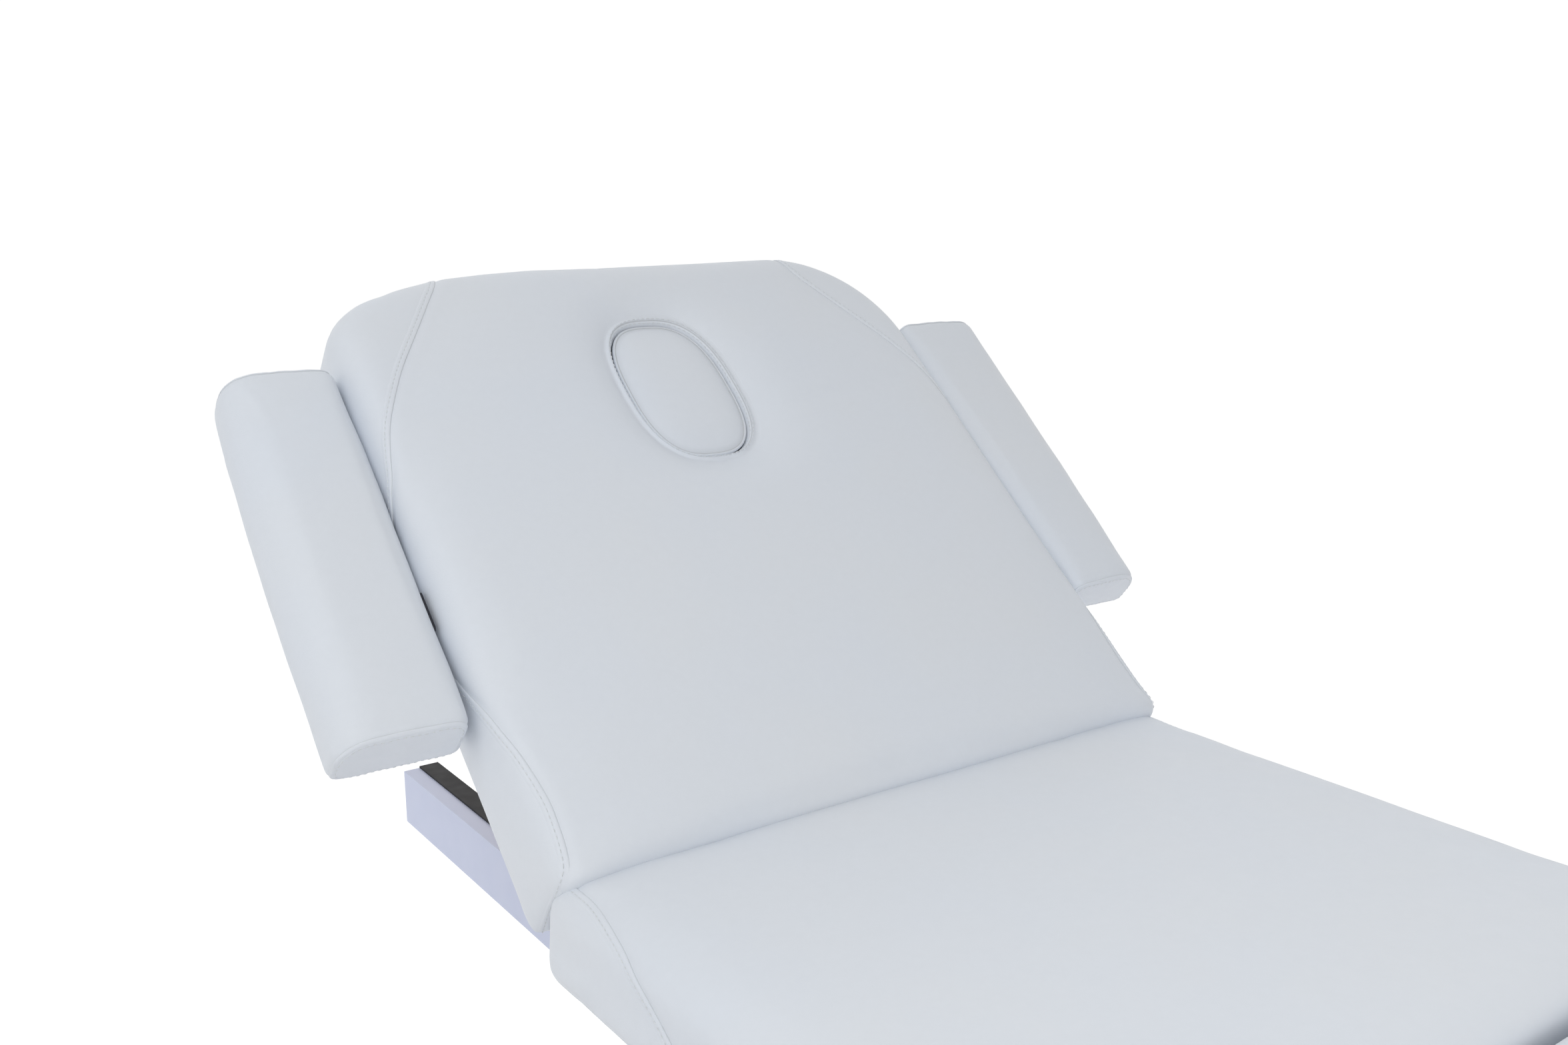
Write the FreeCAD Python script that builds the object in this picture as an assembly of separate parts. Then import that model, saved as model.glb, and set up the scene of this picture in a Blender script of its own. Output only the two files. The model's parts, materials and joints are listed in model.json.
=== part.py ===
import FreeCAD, Part
import math
import os
from FreeCAD import Vector as V

os.makedirs("parts", exist_ok=True)

# Facial treatment bed: three padded sections on a telescopic lifting column.
# Design axes, millimetres: +X to the client's left side, +Y towards the head, +Z up.
# Design origin: middle of the crease between seat and backrest, at the seat's top.
# Everything is moved at the end so that the row origin is the middle of the footprint, on the floor.

# ---------------------------------------------------------------- driving dimensions
SEAT_HEIGHT = 650.0        # floor to seat top, column down
Y_MID = -223.0             # middle of the overall length in design axes
PAD_W = 650.0              # width of the three pads
PAD_T = 80.0               # thickness of the seat and leg rest pads
BACK_T = 95.0              # thickness of the backrest pad
BACK_TILT = 41.0           # backrest above level as stored, degrees
BACK_MIN, BACK_MAX = -41.0, 19.0
LEG_MAX = 65.0
LIFT = 220.0

SEAT_HEAD, SEAT_FOOT = 12.0, -490.0
LEG_HEAD, LEG_FOOT = -502.0, -1062.0
BACK_LOW, BACK_TOP = 4.0, 650.0     # along the backrest
BACK_FRONT = 25.0                   # front face above the plane through the crease

BOARD_T = 12.0
TUBE = 25.0                # sub-frame tube
HINGE_B = (2.1, -107.5)    # backrest hinge axis (y, z)
HINGE_L = (-497.5, -107.5) # leg rest hinge axis (y, z)
PIN_R = 6.0
BOSS = 11.5                # bosses round the hinge pins
RUN = 0.05                 # running clearance on pins

RAIL_X0, RAIL_X1 = 165.0, 205.0
RAIL_Z0, RAIL_Z1 = -194.0, -134.0
RAIL_Y0, RAIL_Y1 = -480.0, 616.0
RAIL_WALL = 2.0
LIP = 18.0                 # painted margin beside the rubber strip
STRIP_PROUD = 2.0

HOLE_L = 462.0             # face hole centre along the backrest
HOLE_A, HOLE_B = 89.0, 59.0
HOLE_M = 2.7               # roundness of the face hole, 2 would be an ellipse
PLUG_GAP = 2.5

ARM_L0, ARM_L1 = 149.0, 535.0
ARM_X0, ARM_X1 = 333.5, 437.0
ARM_N0, ARM_N1 = -42.0, 8.0
ARM_PIVOT_L, ARM_PIVOT_N = 265.0, -32.0

COL_Y = -230.0             # column centre
ACT_X = 100.0              # actuators either side of the column
ACT_R, ROD_R, ACT_PIN_R = 18.0, 10.0, 5.0
P_B = (-330.0, -210.0)     # back actuator's fixed pivot
LEVER_B = 100.0
Q_B_ANG = 11.0             # lever's angle from straight down at the stored pose
P_L = (-130.0, -210.0)
LEVER_L = 90.0
Q_L_ANG = -32.5
# constant ratios of the two drive linkages (see the slots in the levers)
RB_TURN, RB_SLIDE = -0.004, 95.0
RL_TURN, RL_SLIDE = 0.008, -86.0

TH = math.radians(BACK_TILT)
X, Y, Z = V(1, 0, 0), V(0, 1, 0), V(0, 0, 1)


# ---------------------------------------------------------------- helpers
def box(x0, x1, y0, y1, z0, z1):
    return Part.makeBox(x1 - x0, y1 - y0, z1 - z0, V(x0, y0, z0))


def cyl(p, axis, r, h):
    return Part.makeCylinder(r, h, V(*p), axis)


def tube_y(x0, x1, y0, y1, z0, z1, w):
    return box(x0, x1, y0, y1, z0, z1).cut(box(x0 + w, x1 - w, y0 - 1, y1 + 1, z0 + w, z1 - w))


def tube_x(x0, x1, y0, y1, z0, z1, w):
    return box(x0, x1, y0, y1, z0, z1).cut(box(x0 - 1, x1 + 1, y0 + w, y1 - w, z0 + w, z1 - w))


def tube_z(cx, cy, s, w, z0, z1):
    h, i = s / 2, s / 2 - w
    return box(cx - h, cx + h, cy - h, cy + h, z0, z1).cut(box(cx - i, cx + i, cy - i, cy + i, z0 - 1, z1 + 1))


def plate_yz(pts, x0, x1):
    w = Part.makePolygon([V(x0, a, b) for a, b in pts] + [V(x0, pts[0][0], pts[0][1])])
    return Part.Face(w).extrude(V(x1 - x0, 0, 0))


def fil(shape, r, test):
    e = [k for k in shape.Edges if test(k)]
    return shape.makeFillet(r, e)


def mid(e):
    return e.valueAt((e.FirstParameter + e.LastParameter) / 2)


def mirror(s):
    return s.mirror(V(0, 0, 0), X)


def both(s):
    return [s, mirror(s)]


def group(shapes):
    return Part.makeCompound(shapes)


def tilt(s):
    s = s.copy()
    s.rotate(V(0, 0, 0), X, BACK_TILT)
    return s


def oval(a, b, cy, z0, z1):
    pts = []
    for i in range(48):
        t = 2 * math.pi * i / 48
        c, n = math.cos(t), math.sin(t)
        pts.append(V(b * math.copysign(abs(c) ** (2 / HOLE_M), c), cy + a * math.copysign(abs(n) ** (2 / HOLE_M), n), z0))
    w = Part.BSplineCurve()
    w.interpolate(pts, PeriodicFlag=True)
    return Part.Face(Part.Wire(w.toShape())).extrude(V(0, 0, z1 - z0))


def pad(x, y0, y1, z0, z1, rt, rb, rc):
    """Cushion block: corner radius rc in plan, rt round the top edge, rb round the bottom edge."""
    s = box(-x, x, y0, y1, z0, z1)
    s = s.makeFillet(rc, [e for e in s.Edges if abs(e.tangentAt(e.FirstParameter).z) > 0.99])
    s = s.makeFillet(rt, [e for e in s.Edges if abs(mid(e).z - z1) < 1e-3 and abs(e.tangentAt(e.FirstParameter).z) < 0.01])
    return s.makeFillet(rb, [e for e in s.Edges if abs(mid(e).z - z0) < 1e-3 and abs(e.tangentAt(e.FirstParameter).z) < 0.01])


def local(y, z):
    """Design (y, z) to the backrest's own (along, normal)."""
    return y * math.cos(TH) + z * math.sin(TH), -y * math.sin(TH) + z * math.cos(TH)


def rot(y, z, a):
    return y * math.cos(a) - z * math.sin(a), y * math.sin(a) + z * math.cos(a)


def slot_path(h, p, q, turn, slide, lo, hi, n=12):
    """Path of the rod's pin as the driven section sees it, over the section's travel."""
    out = []
    dy, dz = q[0] - p[0], q[1] - p[1]
    length = math.hypot(dy, dz)
    for i in range(n + 1):
        a = math.radians(lo + (hi - lo) * i / n)
        k = (length + slide * a) / length
        wy, wz = rot(dy * k, dz * k, turn * a)
        wy, wz = wy + p[0] - h[0], wz + p[1] - h[1]
        sy, sz = rot(wy, wz, -a)
        out.append((sy + h[0], sz + h[1]))
    return out


def slot_solid(path, r, x0, x1):
    s = None
    for (a, b) in path:
        c = cyl((x0, a, b), X, r, x1 - x0)
        s = c if s is None else s.fuse(c)
    for (a, b), (c, d) in zip(path, path[1:]):
        ln = math.hypot(c - a, d - b)
        if ln < 0.05:
            continue
        t = (-(d - b) / ln * r, (c - a) / ln * r)
        q = plate_yz([(a + t[0], b + t[1]), (c + t[0], d + t[1]), (c - t[0], d - t[1]), (a - t[0], b - t[1])], x0, x1)
        s = s.fuse(q)
    return s.removeSplitter()


parts = {}
Q_B = (HINGE_B[0] + LEVER_B * math.sin(math.radians(Q_B_ANG)), HINGE_B[1] - LEVER_B * math.cos(math.radians(Q_B_ANG)))
Q_L = (HINGE_L[0] + LEVER_L * math.sin(math.radians(Q_L_ANG)), HINGE_L[1] - LEVER_L * math.cos(math.radians(Q_L_ANG)))
HL, HN = local(*HINGE_B)

# ---------------------------------------------------------------- base
FZ = -SEAT_HEIGHT          # floor in design axes
BX, BT = 230.0, 40.0
BY0, BY1 = -620.0, 180.0
b0, b1 = FZ + 25, FZ + 65
cross = []
for yc in (COL_Y - 120, COL_Y + 120):
    cross.append(tube_x(-(BX - 30), BX - 30, yc - 20, yc + 20, b0, b1, 2.5))
parts["base_tubes"] = group(both(tube_y(BX - 30, BX + 30, BY0, BY1, b0, b1, 2.5)) + cross)
caps = []
for sx in (-1, 1):
    for y, d in ((BY0, -1), (BY1, 1)):
        c = box(sx * BX - 30, sx * BX + 30, y - (3 if d < 0 else 0), y + (3 if d > 0 else 0), b0, b1)
        c = c.fuse(box(sx * BX - 27.4, sx * BX + 27.4, y - (0 if d < 0 else 14), y + (14 if d < 0 else 0), b0 + 2.6, b1 - 2.6))
        caps.append(c)
parts["base_end_caps"] = group(caps)
feet, screws = [], []
for sx in (-1, 1):
    for y in (BY0 + 30, BY1 - 30):
        feet.append(cyl((sx * BX, y, FZ), Z, 24, 9).fuse(cyl((sx * BX, y, FZ + 9), Z, 17, 5)))
        screws.append(cyl((sx * BX, y, FZ + 14), Z, 5, 11).fuse(cyl((sx * BX, y, FZ + 18), Z, 9, 5)))
parts["foot_pads"] = group(feet)
parts["foot_screws"] = group(screws)
p0, p1 = b1, b1 + 8
plate = box(-150, 150, COL_Y - 160, COL_Y + 160, p0, p1)
o0, o1 = p1, FZ + 390
parts["column_outer"] = tube_z(0, COL_Y, 120, 4, o0, o1)
gus = []
for sx in (-1, 1):
    g = Part.Face(Part.makePolygon([V(sx * 60, COL_Y, p1), V(sx * 105, COL_Y, p1), V(sx * 60, COL_Y, p1 + 60), V(sx * 60, COL_Y, p1)])).extrude(V(0, 6, 0))
    g.translate(V(0, -3, 0))
    gus.append(g)
parts["base_plate"] = group([plate] + gus)
gl = []
for a in (0, 90, 180, 270):
    g = box(-40, 40, 54.4, 56, o1 - 40, o1 - 2)
    g.rotate(V(0, 0, 0), Z, a)
    g.translate(V(0, COL_Y, 0))
    gl.append(g)
parts["outer_glides"] = group(gl)
tubez = cyl((0, COL_Y, p1), Z, 30, 275).cut(cyl((0, COL_Y, p1 + 4), Z, 25, 251)).cut(cyl((0, COL_Y, p1 + 4), Z, 14.0 + RUN, 280))
parts["lift_actuator_tube"] = tubez
# moulded cover over the plate, open underneath
c0, c1 = b1, FZ + 190
cov = box(-170, 170, COL_Y - 200, COL_Y + 200, c0, c1)
cov = cov.makeFillet(30, [e for e in cov.Edges if abs(e.tangentAt(e.FirstParameter).z) > 0.99])
cov = cov.makeFillet(14, [e for e in cov.Edges if abs(mid(e).z - c1) < 1e-3])
inn = box(-167, 167, COL_Y - 197, COL_Y + 197, c0 - 1, c1 - 3)
inn = inn.makeFillet(27, [e for e in inn.Edges if abs(e.tangentAt(e.FirstParameter).z) > 0.99])
inn = inn.makeFillet(11, [e for e in inn.Edges if abs(mid(e).z - (c1 - 3)) < 1e-3])
cov = cov.cut(inn).cut(box(-62, 62, COL_Y - 62, COL_Y + 62, c1 - 20, c1 + 1))
IX, IZ = 60.0, (c0 + c1) / 2
cy = COL_Y - 200
cov = cov.cut(box(IX - 16, IX + 16, cy - 1, cy + 4, IZ - 13, IZ + 13))
parts["base_cover"] = cov
inlet = box(IX - 20, IX + 20, cy - 3, cy, IZ - 17, IZ + 17).fuse(box(IX - 15.7, IX + 15.7, cy, cy + 26, IZ - 12.7, IZ + 12.7))
inlet = inlet.cut(box(IX - 13, IX + 13, cy - 4, cy + 20, IZ - 10, IZ + 10))
for dx, dz in ((-6, -2), (6, -2), (0, 4)):
    inlet = inlet.fuse(box(IX + dx - 1, IX + dx + 1, cy + 8, cy + 21, IZ + dz - 2, IZ + dz + 2))
parts["power_inlet"] = inlet.removeSplitter()
parts["cover_screws"] = group([cyl((sx * 120, COL_Y + sy * 160, c1), Z, 5, 2) for sx in (-1, 1) for sy in (-1, 1)])
cb = box(75, 140, COL_Y + 12, COL_Y + 150, p1, p1 + 55)
cb = cb.makeFillet(4, [e for e in cb.Edges if abs(mid(e).z - (p1 + 55)) < 1e-3])
parts["control_box"] = cb

# ---------------------------------------------------------------- lifting column, middle stage
m0, m1 = p1 + 7, FZ + 433
parts["column_middle"] = tube_z(0, COL_Y, 108, 4, m0, m1)
gl = []
for a in (0, 90, 180, 270):
    g = box(-34, 34, 48.4, 50, m1 - 40, m1 - 2)
    g.rotate(V(0, 0, 0), Z, a)
    g.translate(V(0, COL_Y, 0))
    gl.append(g)
parts["middle_glides"] = group(gl)

# ---------------------------------------------------------------- upper frame
h1 = -164.0
h0 = h1 - 10
parts["column_inner"] = group([tube_z(0, COL_Y, 96, 4, p1 + 14, h0), box(-75, 75, COL_Y - 125, COL_Y + 125, h0, h1)])
parts["lift_rod"] = cyl((0, COL_Y, p1 + 12), Z, 14, h0 - p1 - 12)
rail = tube_y(RAIL_X0, RAIL_X1, RAIL_Y0, RAIL_Y1, RAIL_Z0, RAIL_Z1, RAIL_WALL)
parts["rail_left"] = rail
parts["rail_right"] = mirror(rail)
caps = []
for y, d in ((RAIL_Y0, -1), (RAIL_Y1, 1)):
    w = RAIL_WALL + 0.1
    c = box(RAIL_X0 + w, RAIL_X1 - w, y if d < 0 else y - 16, y + 16 if d < 0 else y, RAIL_Z0 + w, RAIL_Z1 - w)
    caps += both(c)
parts["rail_end_caps"] = group(caps)
strip = box(RAIL_X0, RAIL_X1 - LIP, 32, RAIL_Y1, RAIL_Z1, RAIL_Z1 + STRIP_PROUD)
parts["rubber_strips"] = group(both(strip))
riser = tube_y(RAIL_X0, RAIL_X1, -470, -32, RAIL_Z1, -PAD_T - BOARD_T, 2.5)
parts["seat_risers"] = group(both(riser))
ct = []
for yc, zt in ((-405, RAIL_Z1), (P_B[0], RAIL_Z1), (P_L[0], RAIL_Z1), (325, RAIL_Z1 - 10)):
    ct.append(tube_x(-RAIL_X0, RAIL_X0, yc - 15, yc + 15, zt - 30, zt, 2))
parts["seat_board"] = box(-285, 285, -478, -24, -PAD_T - BOARD_T, -PAD_T)
parts["seat_pad"] = pad(PAD_W / 2, SEAT_FOOT, SEAT_HEAD, -PAD_T, 0, 30, 26, 34)
# give way at the head end so that the raised backrest never reaches the cushion
cutter = Part.Face(Part.makePolygon([V(-400, SEAT_HEAD + 1, 1), V(-400, -62, 1), V(-400, -34, -4.5), V(-400, -12, -19), V(-400, 3, -38), V(-400, SEAT_HEAD + 1, -62), V(-400, SEAT_HEAD + 1, 1)])).extrude(V(800, 0, 0))
parts["seat_pad"] = parts["seat_pad"].cut(cutter)


def lug(hy, hz, pts, x0, x1):
    s = plate_yz(pts, x0, x1)
    s = s.fuse(cyl((x0, hy, hz), X, BOSS, x1 - x0)).removeSplitter()
    return s.cut(cyl((x0 - 1, hy, hz), X, PIN_R, x1 - x0 + 2))


hy, hz = HINGE_B
lb = lug(hy, hz, [(hy - BOSS, hz), (hy + BOSS, hz), (30, -140), (30, -180), (-26, -180), (-26, -140)], 157, 165)
pin = cyl((138, hy, hz), X, PIN_R, 27).fuse(cyl((165, hy, hz), X, 9, 4))
pins = both(pin)
hy, hz = HINGE_L
ll = lug(hy, hz, [(hy - BOSS, hz), (hy + BOSS, hz), (hy + 18, -115), (hy + 60, -126), (hy + 74, -140), (hy + 74, -180), (hy + 25, -180)], 157, 165)
parts["hinge_lugs"] = group(both(lb) + both(ll))
pin = cyl((138, hy, hz), X, PIN_R, 27).fuse(cyl((165, hy, hz), X, 9, 4))
parts["hinge_pins"] = group(pins + both(pin))


def drive_lugs(cx, p):
    out = []
    for s in (-1, 1):
        x0 = cx + (12 if s > 0 else -18)
        q = plate_yz([(p[0] - 15, -164), (p[0] + 15, -164), (p[0] + 13, p[1]), (p[0] - 13, p[1])], x0, x0 + 6)
        q = q.fuse(cyl((x0, p[0], p[1]), X, 13, 6)).removeSplitter().cut(cyl((x0 - 1, p[0], p[1]), X, ACT_PIN_R, 8))
        out.append(q)
    return out


parts["frame_cross_tubes"] = group(ct + drive_lugs(ACT_X, P_B) + drive_lugs(-ACT_X, P_L))
parts["drive_pins"] = group([cyl((c - 20, p[0], p[1]), X, ACT_PIN_R, 40).fuse(cyl((c + 20, p[0], p[1]), X, 8, 3)) for c, p in ((ACT_X, P_B), (-ACT_X, P_L))])
parts["seat_bolts"] = group([cyl((sx * 185, y, -194 - 4), Z, 6.5, 4) for sx in (-1, 1) for y in (-440, -250, -60)])


# ---------------------------------------------------------------- linear actuators
def actuator(cx, p, q, front, rod_len):
    """Housing, motor, bush and rod along p to q, at x = cx. Built along +Y from p, then turned."""
    length = math.hypot(q[0] - p[0], q[1] - p[1])
    eye = cyl((cx - 10, 0, 0), X, 12, 20)
    neck = box(cx - 10, cx + 10, 0, 20, -12, 12)
    block = box(cx - 20, cx + 20, 18, 64, -58, 20)
    block = block.makeFillet(6, [e for e in block.Edges if abs(e.tangentAt(e.FirstParameter).y) > 0.99])
    body = eye.fuse(neck).fuse(block).fuse(cyl((cx, 60, 0), Y, ACT_R, front - 60)).removeSplitter()
    body = body.cut(cyl((cx, 66, 0), Y, ROD_R + 3, front - 84)).cut(cyl((cx, 66, 0), Y, ROD_R + RUN, front)).cut(cyl((cx - 30, 0, 0), X, ACT_PIN_R + RUN, 60))
    motor = cyl((cx, 64, -38), Y, 19, 92)
    motor = motor.makeFillet(3, [e for e in motor.Edges if abs(mid(e).y - 156) < 1e-3])
    reye = cyl((cx - 10, length, 0), X, 12, 20)
    rod = cyl((cx, length - rod_len, 0), Y, ROD_R, rod_len - 4).fuse(reye).removeSplitter().cut(cyl((cx - 30, length, 0), X, ACT_PIN_R, 60))
    rpin = cyl((cx - 22, length, 0), X, ACT_PIN_R, 44)
    clips = [cyl((cx + a, length, 0), X, 9, 2.5) for a in (-24.5, 22)]
    rpin = rpin.fuse(clips[0]).fuse(clips[1])
    ang = math.degrees(math.atan2(q[1] - p[1], q[0] - p[0]))
    out = []
    for s in (body, motor, rod, rpin):
        s = s.copy()
        if abs(ang) > 90:
            s = s.mirror(V(0, 0, 0), Y)
            s.rotate(V(0, 0, 0), X, ang - 180)
        else:
            s.rotate(V(0, 0, 0), X, ang)
        s.translate(V(0, p[0], p[1]))
        out.append(s)
    return out


a = actuator(ACT_X, P_B, Q_B, 255, 215)
parts["back_actuator"], parts["back_motor"], parts["back_rod"], parts["back_rod_pin"] = a
a = actuator(-ACT_X, P_L, Q_L, 290, 240)
parts["leg_actuator"], parts["leg_motor"], parts["leg_rod"], parts["leg_rod_pin"] = a

# ---------------------------------------------------------------- backrest (built level, in its own axes, then tilted)
n_back = BACK_FRONT - BACK_T
nb0 = n_back - BOARD_T
nt0 = nb0 - TUBE
bp = box(-PAD_W / 2, PAD_W / 2, BACK_LOW, BACK_TOP, n_back, BACK_FRONT)
top_e = [e for e in bp.Edges if abs(e.tangentAt(e.FirstParameter).z) > 0.99 and mid(e).y > BACK_TOP - 1]
low_e = [e for e in bp.Edges if abs(e.tangentAt(e.FirstParameter).z) > 0.99 and mid(e).y < BACK_LOW + 1]
bp = bp.makeFillet(135, top_e)
bp = bp.makeFillet(30, [e for e in bp.Edges if abs(e.tangentAt(e.FirstParameter).z) > 0.99 and mid(e).y < BACK_LOW + 1 and abs(mid(e).x) > PAD_W / 2 - 1])
bp = bp.makeFillet(30, [e for e in bp.Edges if abs(mid(e).z - BACK_FRONT) < 1e-3 and abs(e.tangentAt(e.FirstParameter).z) < 0.01])
bp = bp.makeFillet(14, [e for e in bp.Edges if abs(mid(e).z - n_back) < 1e-3 and abs(e.tangentAt(e.FirstParameter).z) < 0.01])
bp = bp.cut(oval(HOLE_A, HOLE_B, HOLE_L, n_back - 1, BACK_FRONT + 1))
parts["backrest_pad"] = tilt(bp)
bb = box(-300, 300, 26, 632, nb0, n_back)
bb = bb.makeFillet(115, [e for e in bb.Edges if abs(e.tangentAt(e.FirstParameter).z) > 0.99 and mid(e).y > 600])
bb = bb.cut(oval(HOLE_A - 14, HOLE_B - 12, HOLE_L, nb0 - 1, n_back + 1))
parts["backrest_board"] = tilt(bb)
TX = 130.0
parts["backrest_tubes"] = tilt(group(both(tube_y(TX - 12.5, TX + 12.5, 20, 610, nt0, nb0, 1.8)) + [tube_x(-(TX - 12.5), TX - 12.5, l - 12.5, l + 12.5, nt0, nb0, 1.8) for l in (32.5, 340, 597.5)]))
tc = []
for l, d in ((20, -1), (610, 1)):
    tc += both(box(TX - 10.6, TX + 10.6, l if d < 0 else l - 10, l + 10 if d < 0 else l, nt0 + 1.9, nb0 - 1.9).fuse(box(TX - 12.5, TX + 12.5, l - (2 if d < 0 else 0), l + (2 if d > 0 else 0), nt0, nb0)))
parts["backrest_tube_caps"] = tilt(group(tc))


def bracket(hl, hn, pts, x0, x1):
    s = plate_yz(pts, x0, x1)
    s = s.fuse(cyl((x0, hl, hn), X, BOSS, x1 - x0)).removeSplitter()
    return s.cut(cyl((x0 - 1, hl, hn), X, PIN_R + RUN, x1 - x0 + 2))


br = bracket(HL, HN, [(HL + 9, HN + 5), (22, nb0 - 1), (95, nb0 - 1), (95, nt0), (22, nt0 - 1), (HL, HN - BOSS)], 142.5, 149)
parts["backrest_hinge_brackets"] = tilt(group(both(br)))
ql, qn = local(*Q_B)
pb = slot_path(HINGE_B, P_B, Q_B, RB_TURN, RB_SLIDE, BACK_MIN, BACK_MAX)
pbl = [local(*k) for k in pb]
levers = []
for x0 in (ACT_X - 18, ACT_X + 12):
    s = plate_yz([(20, nt0), (74, nt0), (50, nt0 - 22), (ql + 26, qn - 14), (ql - 2, qn - 26), (ql - 20, qn - 6), (ql - 8, qn + 24), (-20, nt0 - 8)], x0, x0 + 6)
    for c in pbl:
        s = s.fuse(cyl((x0, c[0], c[1]), X, 14, 6))
    s = s.removeSplitter()
    s = s.cut(slot_solid(pbl, ACT_PIN_R + 1.0, x0 - 1, x0 + 7))
    levers.append(s)
parts["backrest_levers"] = tilt(group(levers))
bf = []
for l in (150, 470):
    bf += both(cyl((176, l, nb0 - 24.5), Z, 8.5, 24.5))
parts["backrest_buffers"] = tilt(group(bf))
def arm_bracket(top):
    """Angle under the backrest board carrying one armrest pin; the upright leaf ends at `top`."""
    s = box(200, 330.5, 241, 279, nb0 - 5, nb0).fuse(box(326.5, 330.5, 241, 279, nb0 - 5, top))
    s = s.makeFillet(3, [e for e in s.Edges if abs(e.tangentAt(e.FirstParameter).x) > 0.99 and abs(mid(e).z - top) < 1e-3])
    return s.cut(cyl((320, ARM_PIVOT_L, ARM_PIVOT_N), X, PIN_R, 20))


parts["armrest_brackets"] = tilt(group([arm_bracket(-10), mirror(arm_bracket(-2.5))]))
ap = cyl((326.5, ARM_PIVOT_L, ARM_PIVOT_N), X, PIN_R, 72)
parts["armrest_pivot_pins"] = tilt(group(both(ap)))
parts["backrest_bolts"] = tilt(group(sum([both(cyl((TX, l, nt0 - 4), Z, 5, 4)) for l in (120, 270, 420, 560)] + [both(cyl((x, l, nb0 - 9), Z, 5, 4)) for x in (222, 262) for l in (252, 268)], [])))

# ---------------------------------------------------------------- face hole plug
PLUG_TOP = 13.0
pl = oval(HOLE_A - PLUG_GAP, HOLE_B - PLUG_GAP, HOLE_L, n_back + 12, PLUG_TOP)
pl = pl.makeFillet(6, [e for e in pl.Edges if abs(mid(e).z - PLUG_TOP) < 1e-3])
parts["face_plug"] = tilt(pl)
parts["face_plug_board"] = tilt(oval(HOLE_A - PLUG_GAP - 3, HOLE_B - PLUG_GAP - 3, HOLE_L, n_back, n_back + 12))


# ---------------------------------------------------------------- armrests
def armrest():
    s = box(ARM_X0, ARM_X1, ARM_L0, ARM_L1, ARM_N0, ARM_N1)
    s = s.makeFillet(20, [e for e in s.Edges if abs(e.tangentAt(e.FirstParameter).y) > 0.99 and mid(e).z > ARM_N1 - 1])
    s = s.makeFillet(8, [e for e in s.Edges if abs(e.tangentAt(e.FirstParameter).y) > 0.99 and mid(e).z < ARM_N0 + 1])
    core = box(ARM_X0 + 16, ARM_X1 - 24, ARM_L0 + 16, ARM_L1 - 30, ARM_N0, ARM_N0 + 20)
    s = s.cut(core)
    s = s.cut(cyl((ARM_X0 - 1, ARM_PIVOT_L, ARM_PIVOT_N), X, PIN_R + 1, 20))
    core = core.cut(cyl((ARM_X0, ARM_PIVOT_L, ARM_PIVOT_N), X, PIN_R + RUN, 80))
    return s, core


s, core = armrest()
parts["armrest_pad_left"] = tilt(s)
parts["armrest_pad_right"] = tilt(mirror(s))
parts["armrest_core_left"] = tilt(core)
parts["armrest_core_right"] = tilt(mirror(core))

# ---------------------------------------------------------------- leg rest
lp = box(-PAD_W / 2, PAD_W / 2, LEG_FOOT, LEG_HEAD, -PAD_T, 0)
lp = lp.makeFillet(90, [e for e in lp.Edges if abs(e.tangentAt(e.FirstParameter).z) > 0.99 and mid(e).y < LEG_FOOT + 1])
lp = lp.makeFillet(30, [e for e in lp.Edges if abs(e.tangentAt(e.FirstParameter).z) > 0.99 and mid(e).y > LEG_HEAD - 1])
lp = lp.makeFillet(30, [e for e in lp.Edges if abs(mid(e).z) < 1e-3 and abs(e.tangentAt(e.FirstParameter).z) < 0.01])
lp = lp.makeFillet(26, [e for e in lp.Edges if abs(mid(e).z + PAD_T) < 1e-3 and abs(e.tangentAt(e.FirstParameter).z) < 0.01])
parts["leg_pad"] = lp
zb = -PAD_T - BOARD_T      # underside of the boards
zt = zb - TUBE
lbd = box(-285, 285, LEG_FOOT + 20, LEG_HEAD - 14, zb, -PAD_T)
lbd = lbd.makeFillet(75, [e for e in lbd.Edges if abs(e.tangentAt(e.FirstParameter).z) > 0.99 and mid(e).y < LEG_FOOT + 26])
parts["leg_board"] = lbd
LT0, LT1 = LEG_FOOT + 50, -575.0
parts["leg_tubes"] = group(both(tube_y(TX - 12.5, TX + 12.5, LT0, LT1, zt, zb, 1.8)) + [tube_x(-(TX - 12.5), TX - 12.5, y - 12.5, y + 12.5, zt, zb, 1.8) for y in (LT1 - 12.5, -790, LT0 + 12.5)])
tc = []
for y, d in ((LT0, -1), (LT1, 1)):
    tc += both(box(TX - 10.6, TX + 10.6, y if d < 0 else y - 10, y + 10 if d < 0 else y, zt + 1.9, zb - 1.9).fuse(box(TX - 12.5, TX + 12.5, y - (2 if d < 0 else 0), y + (2 if d > 0 else 0), zt, zb)))
parts["leg_tube_caps"] = group(tc)
hy, hz = HINGE_L
lbr = bracket(hy, hz, [(hy - 10, hz + 5.7), (hy - 17, zb - 1), (LT1 - 60, zb - 1), (LT1 - 60, zt), (LT1 - 2, zt - 1), (hy, hz - BOSS)], 142.5, 149)
parts["leg_hinge_brackets"] = group(both(lbr))
plg = slot_path(HINGE_L, P_L, Q_L, RL_TURN, RL_SLIDE, 0.0, LEG_MAX)
levers = []
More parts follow.
